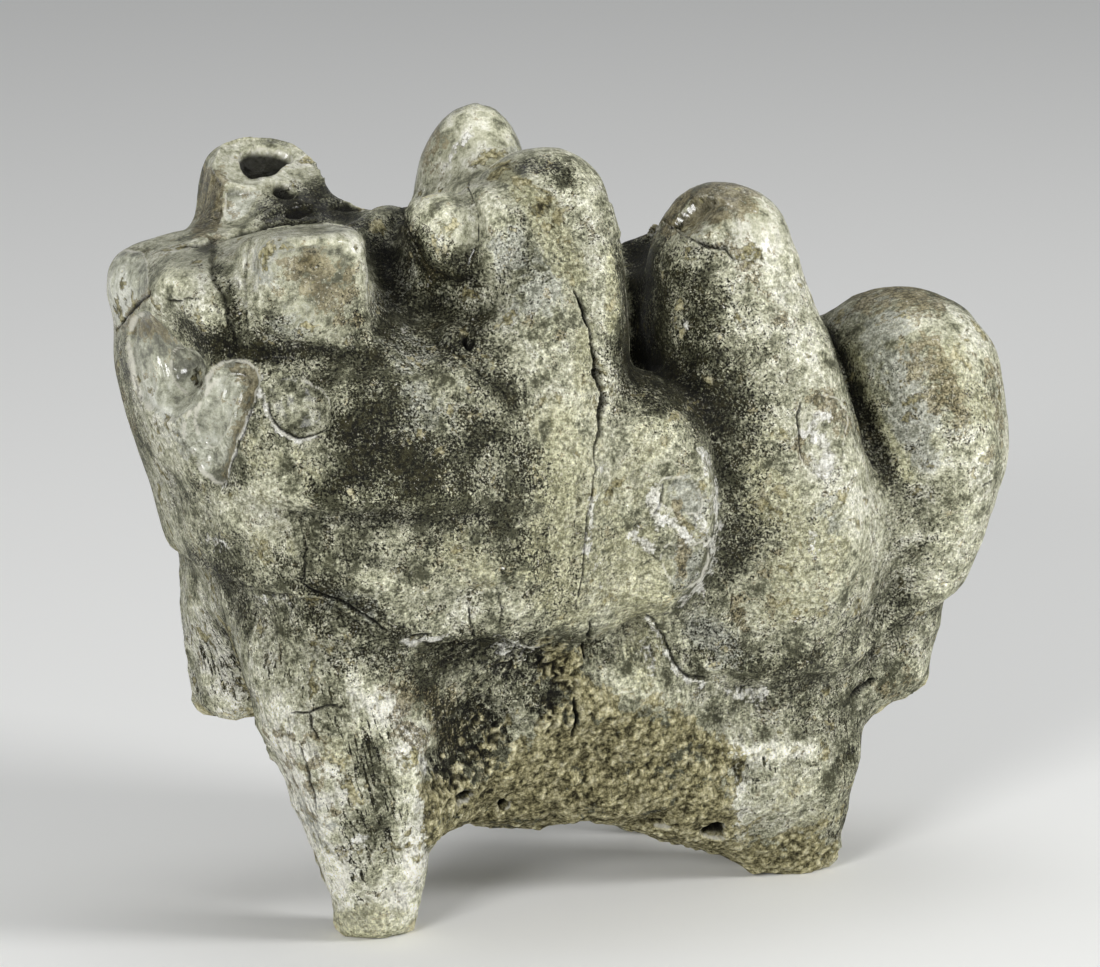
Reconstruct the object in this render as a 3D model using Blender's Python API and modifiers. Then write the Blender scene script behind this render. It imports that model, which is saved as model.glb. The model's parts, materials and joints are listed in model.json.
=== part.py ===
"""Fossil mastodon molar: a third molar with four lophs, its roots and the sediment cemented between them.

Frame: +X runs from the front end of the tooth to its back end, +Z up to the chewing face, and the
near side is -Y. The origin is on the surface that the root tips stand on, under the middle of the tooth.
"""

import math

import bmesh
import bpy
import numpy as np
from mathutils import Vector, noise

MM = 0.001

FUSING_VOXEL = 1.3 * MM
FINAL_VOXEL = 1.0 * MM
FACES_KEPT = 9600
SOFTENING = 0.5
CUT_MERGE = 0.02 * MM

RINGS = 44
SEGMENTS = 48
CAP_SHARE = 0.28

# Every lobe is a column of oval sections from bottom to top, in mm:
# (z, x, y, half length in x, half width in y).
# foot and dome are the heights of its rounded ends. square makes its sections boxier than an ellipse
# when over 2. fillet is how widely it runs into the lobes listed before it.
LOBES = {
    "base": dict(
        sections=[
            (44, -4, 0, 54, 25), (56, -4, -1, 64, 30), (66, -4, -1, 68, 33), (76, -6, -1, 68, 33),
        ],
        foot=8, dome=9, square=2.6, fillet=1,
    ),
    "near_wall": dict(
        sections=[
            (58, -41, -17, 29, 20), (74, -42, -18, 32, 25), (90, -43, -18, 32, 25.5),
            (100, -44, -17, 30, 22),
        ],
        foot=12, dome=12, square=2.4, fillet=12,
    ),
    "front_block": dict(
        sections=[
            (58, -54, 2, 17, 27), (72, -57.6, 2, 18.6, 29), (86, -61.6, 2, 20.1, 30.5),
            (100, -64.5, 1, 21.5, 30), (116, -65, -0.5, 21, 27.5),
        ],
        foot=8, dome=9.5, square=2.5, fillet=10,
    ),
    "first_far": dict(
        sections=[(92, -56, 18, 16, 17), (110, -54, 20, 13, 14), (133, -53.5, 21, 10.5, 11)],
        foot=8, dome=6, square=2.4, fillet=7,
    ),
    "first_back": dict(
        sections=[(92, -44, 1, 15, 22), (120, -45, 3, 10, 13)],
        foot=6, dome=10, square=2.3, fillet=8,
    ),
    "first_conelet": dict(
        sections=[(108, -38, 2, 8, 9), (122, -39, 4, 6, 7)],
        foot=6, dome=7, square=2, fillet=5,
    ),
    "first_back_crest": dict(
        sections=[(106, -33, 0, 7, 9), (120, -33.5, 0, 5, 6)],
        foot=6, dome=6, square=2, fillet=6,
    ),
    "shield": dict(
        sections=[(114, -63, -18.5, 11, 14.5), (127, -61.5, -18, 11, 13.5)],
        foot=9, dome=4, square=2.6, fillet=3,
    ),
    "second_near": dict(
        sections=[
            (62, -22, -17, 20, 22), (85, -21, -18, 20, 24), (100, -20, -19, 19, 21),
            (112, -18, -19, 17, 18), (124, -16, -18, 14, 15), (131, -15.5, -17, 12, 12),
        ],
        foot=8, dome=9, square=2.2, fillet=12,
    ),
    "second_far": dict(
        sections=[
            (60, -13, 16, 22, 20), (78, -13, 19, 22, 20), (94, -13, 20, 18.5, 18.5),
            (109, -13, 21, 14, 15.5), (126, -12, 21, 10, 12),
        ],
        foot=8, dome=16, square=2, fillet=9,
    ),
    "second_middle": dict(
        sections=[(80, -14, 1, 18, 20), (104, -14, 1, 14, 17), (122, -13.5, 1, 9, 13)],
        foot=6, dome=11, square=2, fillet=9,
    ),
    "second_conelet": dict(
        sections=[(112, -34, -15, 8, 9), (124, -33.5, -16, 7.5, 8.5)],
        foot=7, dome=8, square=2, fillet=3,
    ),
    "third_near": dict(
        sections=[
            (46, 29, -15, 17, 16), (56, 31, -17, 18, 19), (73, 29.5, -19, 18.5, 21),
            (86, 26.5, -20, 17.5, 20), (99, 23.5, -19, 17, 18), (113, 20.5, -17, 15, 15),
            (122, 21, -15, 11.5, 12),
        ],
        foot=8, dome=9, square=2.1, fillet=9,
    ),
    "third_middle": dict(
        sections=[(70, 25, 3, 17, 19), (94, 22, 4, 14, 17), (112, 20, 4, 11.5, 13)],
        foot=6, dome=11, square=2.3, fillet=6,
    ),
    "third_far": dict(
        sections=[
            (54, 25, 15, 18, 18), (70, 25, 18, 20, 19), (86, 25.5, 20, 17, 17.5),
            (102, 27.5, 20, 11, 13),
        ],
        foot=8, dome=12, square=2, fillet=8,
    ),
    "fourth_near": dict(
        sections=[
            (36, 53.5, -5, 13, 15), (44, 56.5, -5, 13.5, 18), (56, 58.5, -6, 13.5, 21),
            (66, 60, -7, 15, 24), (76, 61.5, -7.5, 16.5, 25), (84, 62.5, -8, 17, 25),
            (94, 61.5, -8, 15, 21),
        ],
        foot=6, dome=14, square=2.1, fillet=8,
    ),
    "fourth_far": dict(
        sections=[
            (42, 47, 11, 12, 14), (56, 52.5, 14, 14, 17), (72, 56.5, 16, 15.5, 17),
            (84, 58, 16, 13.5, 14),
        ],
        foot=8, dome=13, square=2.1, fillet=9,
    ),
    "fourth_middle": dict(
        sections=[(60, 56.5, 4, 14, 18), (86, 60, 4, 13.5, 15)],
        foot=8, dome=11, square=2, fillet=8,
    ),
    "first_far_wall": dict(
        sections=[(56, -53.5, 15, 15, 17), (74, -54, 18, 17.5, 19), (92, -55.5, 19, 17.5, 18)],
        foot=8, dome=12, square=2.2, fillet=9,
    ),
    "valley_boss": dict(
        sections=[(66, 0, -27, 12, 13.5), (78, 0.5, -27, 14.5, 16), (89, -1, -26, 12.5, 14.5)],
        foot=9, dome=11, square=2, fillet=2.5,
    ),
    "front_near_root": dict(
        sections=[
            (3, -47.5, -18.5, 8, 8), (15, -49.8, -21.5, 10, 10), (28, -52, -22, 13, 13),
            (44, -54, -20, 17, 16), (60, -54, -17, 20, 18),
        ],
        foot=4.5, dome=8, square=2.3, fillet=8,
    ),
    "front_root_crust": dict(
        sections=[(16, -39, -21, 4, 7), (25, -38, -20, 5, 9), (36, -36, -18, 8, 12)],
        foot=4, dome=6, square=2, fillet=3,
    ),
    "front_far_root": dict(
        sections=[(34, -58, 22, 8.5, 9), (45, -57, 21, 11, 12), (62, -54, 18, 15, 17)],
        foot=3, dome=8, square=2.6, fillet=8,
    ),
    "back_near_root": dict(
        sections=[
            (-2, 41, -7, 5, 4.5), (2, 38.5, -7, 8, 5.5), (6, 33, -8.5, 14, 7.5),
            (11, 26.5, -10, 22, 10.5), (17, 20.5, -11, 28.5, 13), (23, 18, -11, 31, 15),
            (32, 17.5, -10, 32, 18), (45, 16, -8, 38, 23),
        ],
        foot=3, dome=8, square=2.8, fillet=8,
    ),
    "back_far_root": dict(
        sections=[(-4, 32, 28, 6, 6), (12, 31, 27, 10, 9), (30, 29, 22, 18, 13), (50, 26, 17, 30, 17)],
        foot=3, dome=8, square=2.3, fillet=8,
    ),
    "matrix": dict(
        sections=[
            (20, -12, -6, 24, 13), (30, -11, -8, 32, 19), (44, -10, -6, 42, 25), (58, -9, 0, 50, 30),
        ],
        foot=5, dome=8, square=2.5, fillet=8,
    ),
}
SECTION_EASE = (-6, -3, 0, 3, 6)

SETTLE_STEPS = 8
LONGEST_STEP = 2.0
LEAST_SLOPE = 0.25
PROBE = 0.4

# Height of the lower edge of the enamel along the near and the far side: (x, z).
NEAR_MARGIN = [
    (-90, 68), (-64, 66), (-54, 60), (-43, 56.5), (-32, 57), (-22, 52), (-8, 55), (-3, 57), (3, 52),
    (11, 45), (23, 42), (43, 42), (54, 49), (66, 54),
]
FAR_MARGIN = [
    (-90, 68), (-62, 64), (-44, 57), (-22, 60), (-4, 53), (16, 56), (34, 47), (52, 50), (66, 54),
]
MARGIN_STEP = 1.8
MARGIN_EDGE = 1.6
MARGIN_HOLD = 3
MARGIN_FADE = 26
SIDE_BLEND = 25
ROOT_FADE = 6

# How steep the sides of grooves and swellings are, and how wide the edge of a flat is.
GROOVE_EDGE = 1.4
SWELLING_EDGE = 1.3
FLAT_EDGE = 3

# Worn and broken flats: a point on the flat, its outward normal and how far from the point it reaches.
FLATS = {
    "first_far_wear": ((-56, 16, 132.5), (0.1, -0.52, 0.85), 24),
    "shield_wear": ((-64, -18, 128.5), (-0.04, 0.12, 1), 19),
    "front_top_wear": ((-80, -4, 123.5), (-0.2, -0.1, 0.97), 17),
    "third_broken_top": ((20.4, 3, 119), (-0.6, 0.1, 0.75), 14),
    "third_broken_side": ((12.8, -14, 124.5), (-0.75, -0.1, 0.65), 8),
    "far_root_break": ((-57, 22, 32.5), (0.12, -0.1, -1), 16),
    "near_root_side": ((-40, -24, 14), (0.93, -0.3, 0.12), 9),
}

# Chips and hollows, cut by a ball: its centre and radius.
HOLLOWS = {
    "round_chip": ((-94.8, -19.8, 106.8), 16),
    "leaf_chip": ((-83.7, -36, 105.1), 14),
    "leaf_chip_point": ((-90.9, -26, 88.2), 14),
    "third_chip": ((-72.9, -45.3, 101.7), 14),
    "first_far_pit": ((-52.4, 20.4, 134.7), 4.6),
    "first_low_pit": ((-52.5, 12.8, 131.4), 3),
    "crest_pit": ((-44, -3, 131), 4),
    "third_side_chip": ((34, -52.5, 88.5), 16.6),
    "boss_window": ((-6, -56, 88), 14.5),
    "spongy_hollow": ((-31.1, -41.8, 34.8), 16),
    "spongy_small_hollow": ((-18.9, -41.1, 45), 12),
    "matrix_hole": ((-31.7, -20.6, 22.4), 4.2),
    "matrix_small_hole": ((-24.2, -21, 21), 3),
    "root_hole": ((5.6, -21.5, 14.2), 4.2),
    "root_small_hole": ((17, -22.3, 11.8), 4),
    "far_chip": ((-38, 58, 98), 20),
    "far_low_chip": ((20, 55, 66), 18),
    "back_chip": ((96, 8, 76), 18),
}

# Grooves along the surface: the path of the middle, its half width and depth.
GROOVES = {
    "shield_groove": ([(-74.5, -22.5, 127), (-74.5, -25, 118), (-74, -27, 109)], 4, 2.4),
    "shield_recess": (
        [
            (-84, -9, 111.5), (-82, -17, 111), (-80, -21.5, 110), (-73, -29, 108), (-64, -31.5, 107),
            (-54, -32, 106),
        ],
        4.5, 2.8,
    ),
    "long_crack": (
        [
            (-13.9, -30, 116.4), (-13.2, -35, 110), (-13.5, -41, 98.6), (-15.3, -43, 91.4),
            (-17.8, -43, 75.7), (-17.5, -42, 69.7), (-18.8, -41, 62.5), (-14.8, -37, 51),
            (-15.5, -34, 40),
        ],
        1.9, 1.7,
    ),
    "front_corner_crack": ([(-86, 11, 108), (-86.3, 3, 112.5), (-86, -3, 116)], 3, 1.5),
    "fourth_crease": (
        [
            (46, -20, 103), (47, -25, 96), (49, -30, 87), (53, -31.5, 78), (55, -31, 66),
        ],
        4, 1.4,
    ),
    "far_crack": (
        [
            (-12, 36, 112), (-14, 40, 92), (-11, 40, 76), (-14, 38, 62), (-12, 34, 48),
        ],
        2.4, 1.6,
    ),
}

# Low swellings and ridges: centre, radius and height.
SWELLINGS = {
    "front_corner_lobe": ((-84, 14, 117), 10, 1.8),
    "anterior_lobe": ((-84, -14, 118), 9, 1.2),
    "wall_bulge": ((-52, -43, 84), 22, 1.2),
    "boss_rim": ((7, -41, 82), 6, 1.2),
    "crown_shoulder": ((-37, -38, 103), 9, 1.2),
    "root_collar": ((50, -20, 30), 10, 1),
    "far_boss": ((6, 34, 78), 12, 3),
    "far_small_boss": ((-36, 33, 88), 10, 2.4),
}

FOSSIL_COLOR = (0.3, 0.28, 0.21, 1)
FOSSIL_ROUGHNESS = 0.7

LUMPS = ((17, 0.75), (8, 0.4), (4.2, 0.22))
ROOT_LUMPS = 1.9


def sections_at(form, heights):
    """Centre and half sizes of a lobe's section at each height, eased over where its sections bend."""
    table = np.array(form["sections"], float)
    eased = []
    for column in range(1, 5):
        column_values = [np.interp(heights + lift, table[:, 0], table[:, column]) for lift in SECTION_EASE]
        eased.append(np.mean(column_values, axis=0))
    return eased


def lobe_distance(form, points):
    """How far points are outside a lobe, along the line to its axis, in mm; negative inside."""
    x, y, z = points.T
    bottom, top = form["sections"][0][0], form["sections"][-1][0]
    center_x, center_y, half_x, half_y = sections_at(form, z)
    above, below = np.maximum(z - top, 0), np.maximum(bottom - z, 0)
    off_x, off_y = x - center_x, y - center_y
    power = form["square"]
    oval = (np.abs(off_x / half_x) ** power + np.abs(off_y / half_y) ** power) ** (1 / power)
    reach = np.maximum(np.hypot(oval, above / form["dome"] + below / form["foot"]), 1e-3)
    return np.sqrt(off_x**2 + off_y**2 + (above + below) ** 2) * (1 - 1 / reach)


def body_distance(points):
    """The lobes run into each other with fillets."""
    total = np.full(len(points), 1e3)
    for form in LOBES.values():
        own = lobe_distance(form, points)
        near = np.maximum(form["fillet"] - np.abs(total - own), 0) / form["fillet"]
        total = np.minimum(total, own) - near**2 * form["fillet"] / 4
    return total


def settle(points):
    """Moves the points of the fused lobes on to their filleted surface."""
    for _ in range(SETTLE_STEPS):
        here = body_distance(points)
        slope = np.empty_like(points)
        for axis in range(3):
            probe = np.zeros(3)
            probe[axis] = PROBE
            slope[:, axis] = (body_distance(points + probe) - body_distance(points - probe)) / (2 * PROBE)
        steep = np.maximum((slope**2).sum(1), LEAST_SLOPE)
        move = slope * (here / steep)[:, None]
        length = np.maximum(np.linalg.norm(move, axis=1), 1e-9)
        points = points - move * np.minimum(1, LONGEST_STEP / length)[:, None]
    return points


def ease(share):
    """0 to 1 with soft ends."""
    share = np.clip(share, 0, 1)
    return share * share * (3 - 2 * share)


def distance_to_path(points, path):
    """Shortest distance from each point to a line of straight pieces."""
    corners = np.array(path, float)
    shortest = np.full(len(points), 1e3)
    for start, end in zip(corners[:-1], corners[1:]):
        run = end - start
        share = np.clip((points - start) @ run / (run @ run), 0, 1)
        away = np.linalg.norm(points - start - share[:, None] * run, axis=1)
        shortest = np.minimum(shortest, away)
    return shortest


def enamel_margin(points):
    """Height of the enamel's lower edge beside each point."""
    x, y, _ = points.T
    near = np.interp(x, *np.array(NEAR_MARGIN, float).T)
    far = np.interp(x, *np.array(FAR_MARGIN, float).T)
    return near + (far - near) * ease((y + SIDE_BLEND) / (2 * SIDE_BLEND))


def lay_lumps(points, normals):
    """Uneven natural surface, rougher on the roots than on the enamel."""
    root = ease((enamel_margin(points) - points[:, 2]) / ROOT_FADE)
    height = np.zeros(len(points))
    for size, depth in LUMPS:
        height += depth * np.array([noise.noise(Vector(point) / size) for point in points])
    return points + normals * (height * (1 + (ROOT_LUMPS - 1) * root))[:, None]


def step_margin(points, normals):
    """The enamel stands out over the root below its edge."""
    below = enamel_margin(points) - points[:, 2]
    inset = MARGIN_STEP * ease(below / MARGIN_EDGE) * (1 - ease((below - MARGIN_HOLD) / MARGIN_FADE))
    return points - normals * inset[:, None]


def carve(points, normals):
    """Grooves, swellings, flats and hollows, in that order."""
    for path, half_width, depth in GROOVES.values():
        share = np.clip(1 - distance_to_path(points, path) / half_width, 0, 1)
        points = points - normals * (depth * ease(share * GROOVE_EDGE))[:, None]
    for center, radius, height in SWELLINGS.values():
        share = 1 - np.linalg.norm(points - np.array(center), axis=1) / radius
        points = points + normals * (height * ease(share * SWELLING_EDGE))[:, None]
    for center, normal, radius in FLATS.values():
        out = np.array(normal) / np.linalg.norm(normal)
        off = points - np.array(center, float)
        pull = np.maximum(off @ out, 0) * ease((radius - np.linalg.norm(off, axis=1)) / FLAT_EDGE)
        points = points - pull[:, None] * out
    for center, radius in HOLLOWS.values():
        off = points - np.array(center, float)
        length = np.maximum(np.linalg.norm(off, axis=1), 1e-6)
        push = np.maximum(radius - length, 0) / length
        points = points + off * push[:, None]
    return points


def add_lobe(bm, form):
    """One lobe, pulled out of a sphere."""
    made = bmesh.ops.create_uvsphere(bm, u_segments=SEGMENTS, v_segments=RINGS, radius=1)
    bottom, top = form["sections"][0][0], form["sections"][-1][0]
    for vert in made["verts"]:
        flat = Vector((vert.co.x, vert.co.y, 0))
        direction = flat.normalized() if flat.length > 1e-6 else Vector((1, 0, 0))
        share = math.asin(max(-1, min(1, vert.co.z))) / math.pi + 0.5
        lift, shrink = 0, 1
        if share < CAP_SHARE:
            slope = math.radians(90) * (1 - share / CAP_SHARE)
            lift, shrink = -form["foot"] * math.sin(slope), math.cos(slope)
        elif share > 1 - CAP_SHARE:
            slope = math.radians(90) * (1 - (1 - share) / CAP_SHARE)
            lift, shrink = form["dome"] * math.sin(slope), math.cos(slope)
        along = max(0, min(1, (share - CAP_SHARE) / (1 - 2 * CAP_SHARE)))
        z = bottom + along * (top - bottom)
        x, y, half_x, half_y = (float(value) for value in sections_at(form, z))
        power = form["square"]
        reach = (abs(direction.x) ** power + abs(direction.y) ** power) ** (-1 / power)
        across = Vector((half_x * direction.x, half_y * direction.y, 0)) * reach * shrink
        vert.co = (Vector((x, y, z + lift)) + across) * MM


def read_vectors(vertices, name):
    values = np.empty(len(vertices) * 3)
    vertices.foreach_get(name, values)
    return values.reshape(-1, 3)


def apply_modifiers(molar):
    shaped = bpy.data.meshes.new_from_object(molar.evaluated_get(bpy.context.evaluated_depsgraph_get()))
    molar.modifiers.clear()
    molar.data = shaped


def sculpt(mesh, tool):
    """Moves the mesh's points with one of the tools above, which work in mm."""
    points = read_vectors(mesh.vertices, "co") / MM
    mesh.vertices.foreach_set("co", (tool(points, read_vectors(mesh.vertices, "normal")) * MM).ravel())
    mesh.update()


def renew_surface(molar, voxel):
    """One clean skin over everything the mesh encloses."""
    remesh = molar.modifiers.new("one_skin", "REMESH")
    remesh.mode = "VOXEL"
    remesh.voxel_size = voxel
    smooth = molar.modifiers.new("soften_steps", "SMOOTH")
    smooth.factor = SOFTENING
    smooth.iterations = 1
    apply_modifiers(molar)


def thin_faces(molar):
    """Fewer faces, kept where the surface bends."""
    triangles = molar.modifiers.new("split_quads", "TRIANGULATE")
    triangles.quad_method = "SHORTEST_DIAGONAL"
    thin = molar.modifiers.new("thin_faces", "DECIMATE")
    thin.ratio = FACES_KEPT / (2 * len(molar.data.polygons))
    apply_modifiers(molar)


def stand_on_tips(mesh):
    """Cuts the root tips flat where they stand, and sets the origin under the middle of the tooth."""
    bm = bmesh.new()
    bm.from_mesh(mesh)
    whole = bm.verts[:] + bm.edges[:] + bm.faces[:]
    bmesh.ops.bisect_plane(
        bm, geom=whole, dist=CUT_MERGE, plane_co=(0, 0, 0), plane_no=(0, 0, 1), clear_inner=True
    )
    rims = [edge for edge in bm.edges if edge.is_boundary]
    bmesh.ops.holes_fill(bm, edges=rims, sides=0)
    bmesh.ops.triangulate(bm, faces=[face for face in bm.faces if len(face.verts) > 3])
    bmesh.ops.recalc_face_normals(bm, faces=bm.faces[:])
    corners = np.array([vert.co for vert in bm.verts])
    middle = (corners.min(axis=0) + corners.max(axis=0)) / 2
    bmesh.ops.translate(bm, verts=bm.verts[:], vec=(-middle[0], -middle[1], 0))
    bm.to_mesh(mesh)
    bm.free()


def fossil_material():
    material = bpy.data.materials.new("fossil_tooth")
    material.use_nodes = True
    shader = material.node_tree.nodes["Principled BSDF"]
    shader.inputs["Base Color"].default_value = FOSSIL_COLOR
    shader.inputs["Roughness"].default_value = FOSSIL_ROUGHNESS
    shader.inputs["Metallic"].default_value = 0
    material.diffuse_color = FOSSIL_COLOR
    return material


def main():
    for obj in list(bpy.data.objects):
        bpy.data.objects.remove(obj)
    collection = bpy.data.collections.new("fossil_mastodon_molar")
    bpy.context.scene.collection.children.link(collection)
    bm = bmesh.new()
    for form in LOBES.values():
        add_lobe(bm, form)
    mesh = bpy.data.meshes.new("molar")
    bm.to_mesh(mesh)
    bm.free()
    molar = bpy.data.objects.new("molar", mesh)
    collection.objects.link(molar)
    renew_surface(molar, FUSING_VOXEL)
    for tool in (lambda points, normals: settle(points), lay_lumps, step_margin, carve):
        sculpt(molar.data, tool)
    renew_surface(molar, FINAL_VOXEL)
    thin_faces(molar)
    stand_on_tips(molar.data)
    molar.data.materials.append(fossil_material())


main()
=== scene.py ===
import json
from math import cos, radians, sin

import bpy
import numpy as np
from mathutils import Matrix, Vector
from mathutils.bvhtree import BVHTree

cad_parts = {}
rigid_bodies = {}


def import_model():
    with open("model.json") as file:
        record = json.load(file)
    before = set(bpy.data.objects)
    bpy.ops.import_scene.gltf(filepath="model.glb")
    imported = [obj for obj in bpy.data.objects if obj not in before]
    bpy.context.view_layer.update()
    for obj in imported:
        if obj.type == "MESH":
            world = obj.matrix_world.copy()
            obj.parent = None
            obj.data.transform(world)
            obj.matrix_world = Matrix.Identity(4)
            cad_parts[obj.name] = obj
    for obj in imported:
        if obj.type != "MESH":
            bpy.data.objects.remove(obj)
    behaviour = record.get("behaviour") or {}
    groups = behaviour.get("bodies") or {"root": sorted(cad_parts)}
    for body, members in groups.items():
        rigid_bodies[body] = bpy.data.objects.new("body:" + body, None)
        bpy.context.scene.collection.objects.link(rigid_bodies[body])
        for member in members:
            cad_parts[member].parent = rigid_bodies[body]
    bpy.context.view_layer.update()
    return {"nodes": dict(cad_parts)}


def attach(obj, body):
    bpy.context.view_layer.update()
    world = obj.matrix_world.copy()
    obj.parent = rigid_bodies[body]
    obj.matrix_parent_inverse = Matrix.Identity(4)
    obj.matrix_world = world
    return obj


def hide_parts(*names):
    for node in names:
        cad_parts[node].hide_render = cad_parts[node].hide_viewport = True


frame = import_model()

# Fossil mastodon molar: a worn and chipped enamel crown with four ridges, stained roots,
# and the sandy sediment cemented between them. Lengths are in mm, unless a note says otherwise.

photo = {  # the photograph's view of the tooth: what is drawn below is in pixels of its 1100 x 967 frame
    "azimuth": -23.0,
    "elevation": 12.0,
    "distance": 1300.0,
    "aim": (-2.1, 3.1, 75.0),
    "pixelsPerMm": 5.5,
    "middle": (550.0, 483.5),
    "width": 1100,
}


def viewAxes():  # right, up and ahead, as the photograph's camera has them
    a, e = radians(photo["azimuth"]), radians(photo["elevation"])
    right = np.array([cos(a), sin(a), 0.0])
    ahead = np.array([-sin(a) * cos(e), cos(a) * cos(e), -sin(e)])
    return right, np.cross(right, ahead), ahead


def fromEye(points):  # the way from the photograph's camera to each point
    return points - (np.array(photo["aim"]) - viewAxes()[2] * photo["distance"])


def toPhoto(points):  # where points of the tooth fall in the photograph, in pixels
    right, up, ahead = viewAxes()
    away = fromEye(points)
    scale = photo["pixelsPerMm"] * photo["distance"] / (away @ ahead)
    x, y = photo["middle"]
    return np.stack([x + scale * (away @ right), y - scale * (away @ up)], 1)


# small tools

def pickOnly(piece):
    bpy.ops.object.select_all(action="DESELECT")
    piece.select_set(True)
    bpy.context.view_layer.objects.active = piece


def applyModifier(piece, kind, **settings):
    modifier = piece.modifiers.new(kind.lower(), kind)
    for name, value in settings.items():
        setattr(modifier, name, value)
    pickOnly(piece)
    bpy.ops.object.modifier_apply(modifier=modifier.name)


def readVectors(items, name):
    values = np.empty(len(items) * 3, np.float32)
    items.foreach_get(name, values)
    return values.reshape(-1, 3).astype(float)


def setPoints(piece, points):  # points in mm
    piece.data.vertices.foreach_set("co", (points / 1000).astype(np.float32).ravel())
    piece.data.update()


def blend(value, low, high):  # 0 below low, 1 above high, and a soft S between
    share = np.clip((value - low) / (high - low), 0, 1)
    return share * share * (3 - 2 * share)


def softNoise(points, size, seed, cells=32):  # smooth random values from -1 to 1, in lumps of that size
    lattice = np.random.default_rng(seed).uniform(-1, 1, (cells, cells, cells))
    grid = points / size
    corner = np.floor(grid).astype(int)
    part = grid - corner
    part = part * part * (3 - 2 * part)
    total = np.zeros(len(points))
    for step in np.ndindex(2, 2, 2):
        weight = np.prod(np.where(step, part, 1 - part), axis=1)
        index = (corner + step) % cells
        total += weight * lattice[index[:, 0], index[:, 1], index[:, 2]]
    return total


def roughNoise(points, size, seed, layers):  # the same in several sizes, each half of the one before
    return sum(softNoise(points, size / 2 ** k, seed + k) / 2 ** k for k in range(layers))


def lineDistance(flat, line):  # distance from points to a drawn line, and how far along it they are, 0 to 1
    line = np.array(line, float)
    lengths = np.linalg.norm(np.diff(line, axis=0), axis=1)
    best, along = np.full(len(flat), 1e6), np.zeros(len(flat))
    start = 0.0
    for a, b, length in zip(line[:-1], line[1:], lengths):
        t = np.clip((flat - a) @ (b - a) / max(length, 1e-9) ** 2, 0, 1)
        gap = np.linalg.norm(flat - a - t[:, None] * (b - a), axis=1)
        nearer = gap < best
        best = np.where(nearer, gap, best)
        along = np.where(nearer, (start + t * length) / max(lengths.sum(), 1e-9), along)
        start += length
    return best, along


def insideDistance(flat, outline):  # distance from points to a closed outline, above 0 inside it
    outline = np.array(outline, float)
    gap, _ = lineDistance(flat, np.vstack([outline, outline[:1]]))
    inside = np.zeros(len(flat), bool)
    x, y = flat[:, 0], flat[:, 1]
    for a, b in zip(outline, np.roll(outline, -1, axis=0)):
        crosses = (a[1] > y) != (b[1] > y)
        inside ^= crosses & (x < a[0] + (y - a[1]) * (b[0] - a[0]) / (b[1] - a[1] + 1e-12))
    return np.where(inside, gap, -gap)


def rounded(outline, rounds=2):  # cuts the corners of a closed outline
    outline = np.array(outline, float)
    for _ in range(rounds):
        after = np.roll(outline, -1, axis=0)
        outline = np.stack([outline * 0.75 + after * 0.25, outline * 0.25 + after * 0.75], 1).reshape(-1, 2)
    return outline


def near(look, shape, room=6):  # the points that a drawn shape could reach, and the shape in mm
    shape = np.array(shape, float) / photo["pixelsPerMm"]
    flat = look["flat"]
    low, high = shape.min(0) - room, shape.max(0) + room
    return np.flatnonzero((look["seen"] > 0) & np.all((flat > low) & (flat < high), axis=1)), shape


def raiseTo(mask, index, values):  # a mask keeps the stronger of what it has and what is drawn
    mask[index] = np.maximum(mask[index], values)


# the tooth's body: a copy of the CAD node, made smooth and then fine enough to carry its surface

molar = {
    "mergeWithin": 1e-6,  # metres
    "roundings": 2,  # levels of subdivision, which round the CAD's facets off
    "meshSize": 1.45,
    "smoothings": 7,  # each takes a point half of the way to the middle of its neighbours
    "fineNearDetail": 1.0,  # the mesh is halved this close to a chip, ledge or crust
    "finestNearCrack": 0.55,  # and halved again this close to a crack
    "sandyFrom": 0.45,  # where there is more sand than this, it is halved too
    "wander": (0.4, 3.2),  # how far what is drawn strays from its line, and in lumps of what size
    "raggedSize": 2.4,  # lumps in the edges of cracks and chips
    "crackTaper": 0.12,  # share of a crack's length in which each end runs out
    "chipRings": (0.1, 3.6),  # height of the ripples in broken enamel, and their turns in a mm
    "spongePits": 0.9,
    # unevenness: height, size of its lumps, seed and layers
    "rootLumps": (0.35, 5, 401, 4),
    "crownLumps": (0.3, 11, 441, 4),
    "crownGrit": (0.1, 3, 421, 3),
    "edgeWaves": (0.9, 7, 91, 3),  # these go up and down in the enamel's lower edge
    "sandCrumbs": 0.65,  # height of the crumbs, and of the sand under them
    "sandRise": 0.1,
    "ledge": 0.9,  # the enamel stands out this much at its lower edge
    # that edge's height along the tooth, on the near and the far side
    "nearEdge": [(-86, 68), (-60, 66), (-50, 60), (-39, 56.5), (-28, 57), (-18, 52), (-4, 55), (1, 57),
                 (7, 52), (15, 45), (27, 42), (47, 42), (58, 49), (70, 54)],
    "farEdge": [(-86, 68), (-58, 64), (-40, 57), (-18, 60), (0, 53), (20, 56), (38, 47), (56, 50),
                (70, 54)],
}


def copyOfNode(node):
    tooth = node.copy()
    tooth.data = node.data.copy()
    tooth.name = "molarFossil"
    tooth.parent = None
    for key in list(tooth.keys()):
        del tooth[key]
    bpy.context.scene.collection.objects.link(tooth)
    pickOnly(tooth)
    bpy.ops.object.mode_set(mode="EDIT")
    bpy.ops.mesh.select_all(action="SELECT")
    bpy.ops.mesh.remove_doubles(threshold=molar["mergeWithin"])
    bpy.ops.object.mode_set(mode="OBJECT")
    applyModifier(tooth, "SUBSURF", levels=molar["roundings"], render_levels=molar["roundings"])
    applyModifier(tooth, "REMESH", mode="VOXEL", voxel_size=molar["meshSize"] / 1000)
    applyModifier(tooth, "SMOOTH", factor=0.5, iterations=molar["smoothings"])
    return tooth


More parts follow.
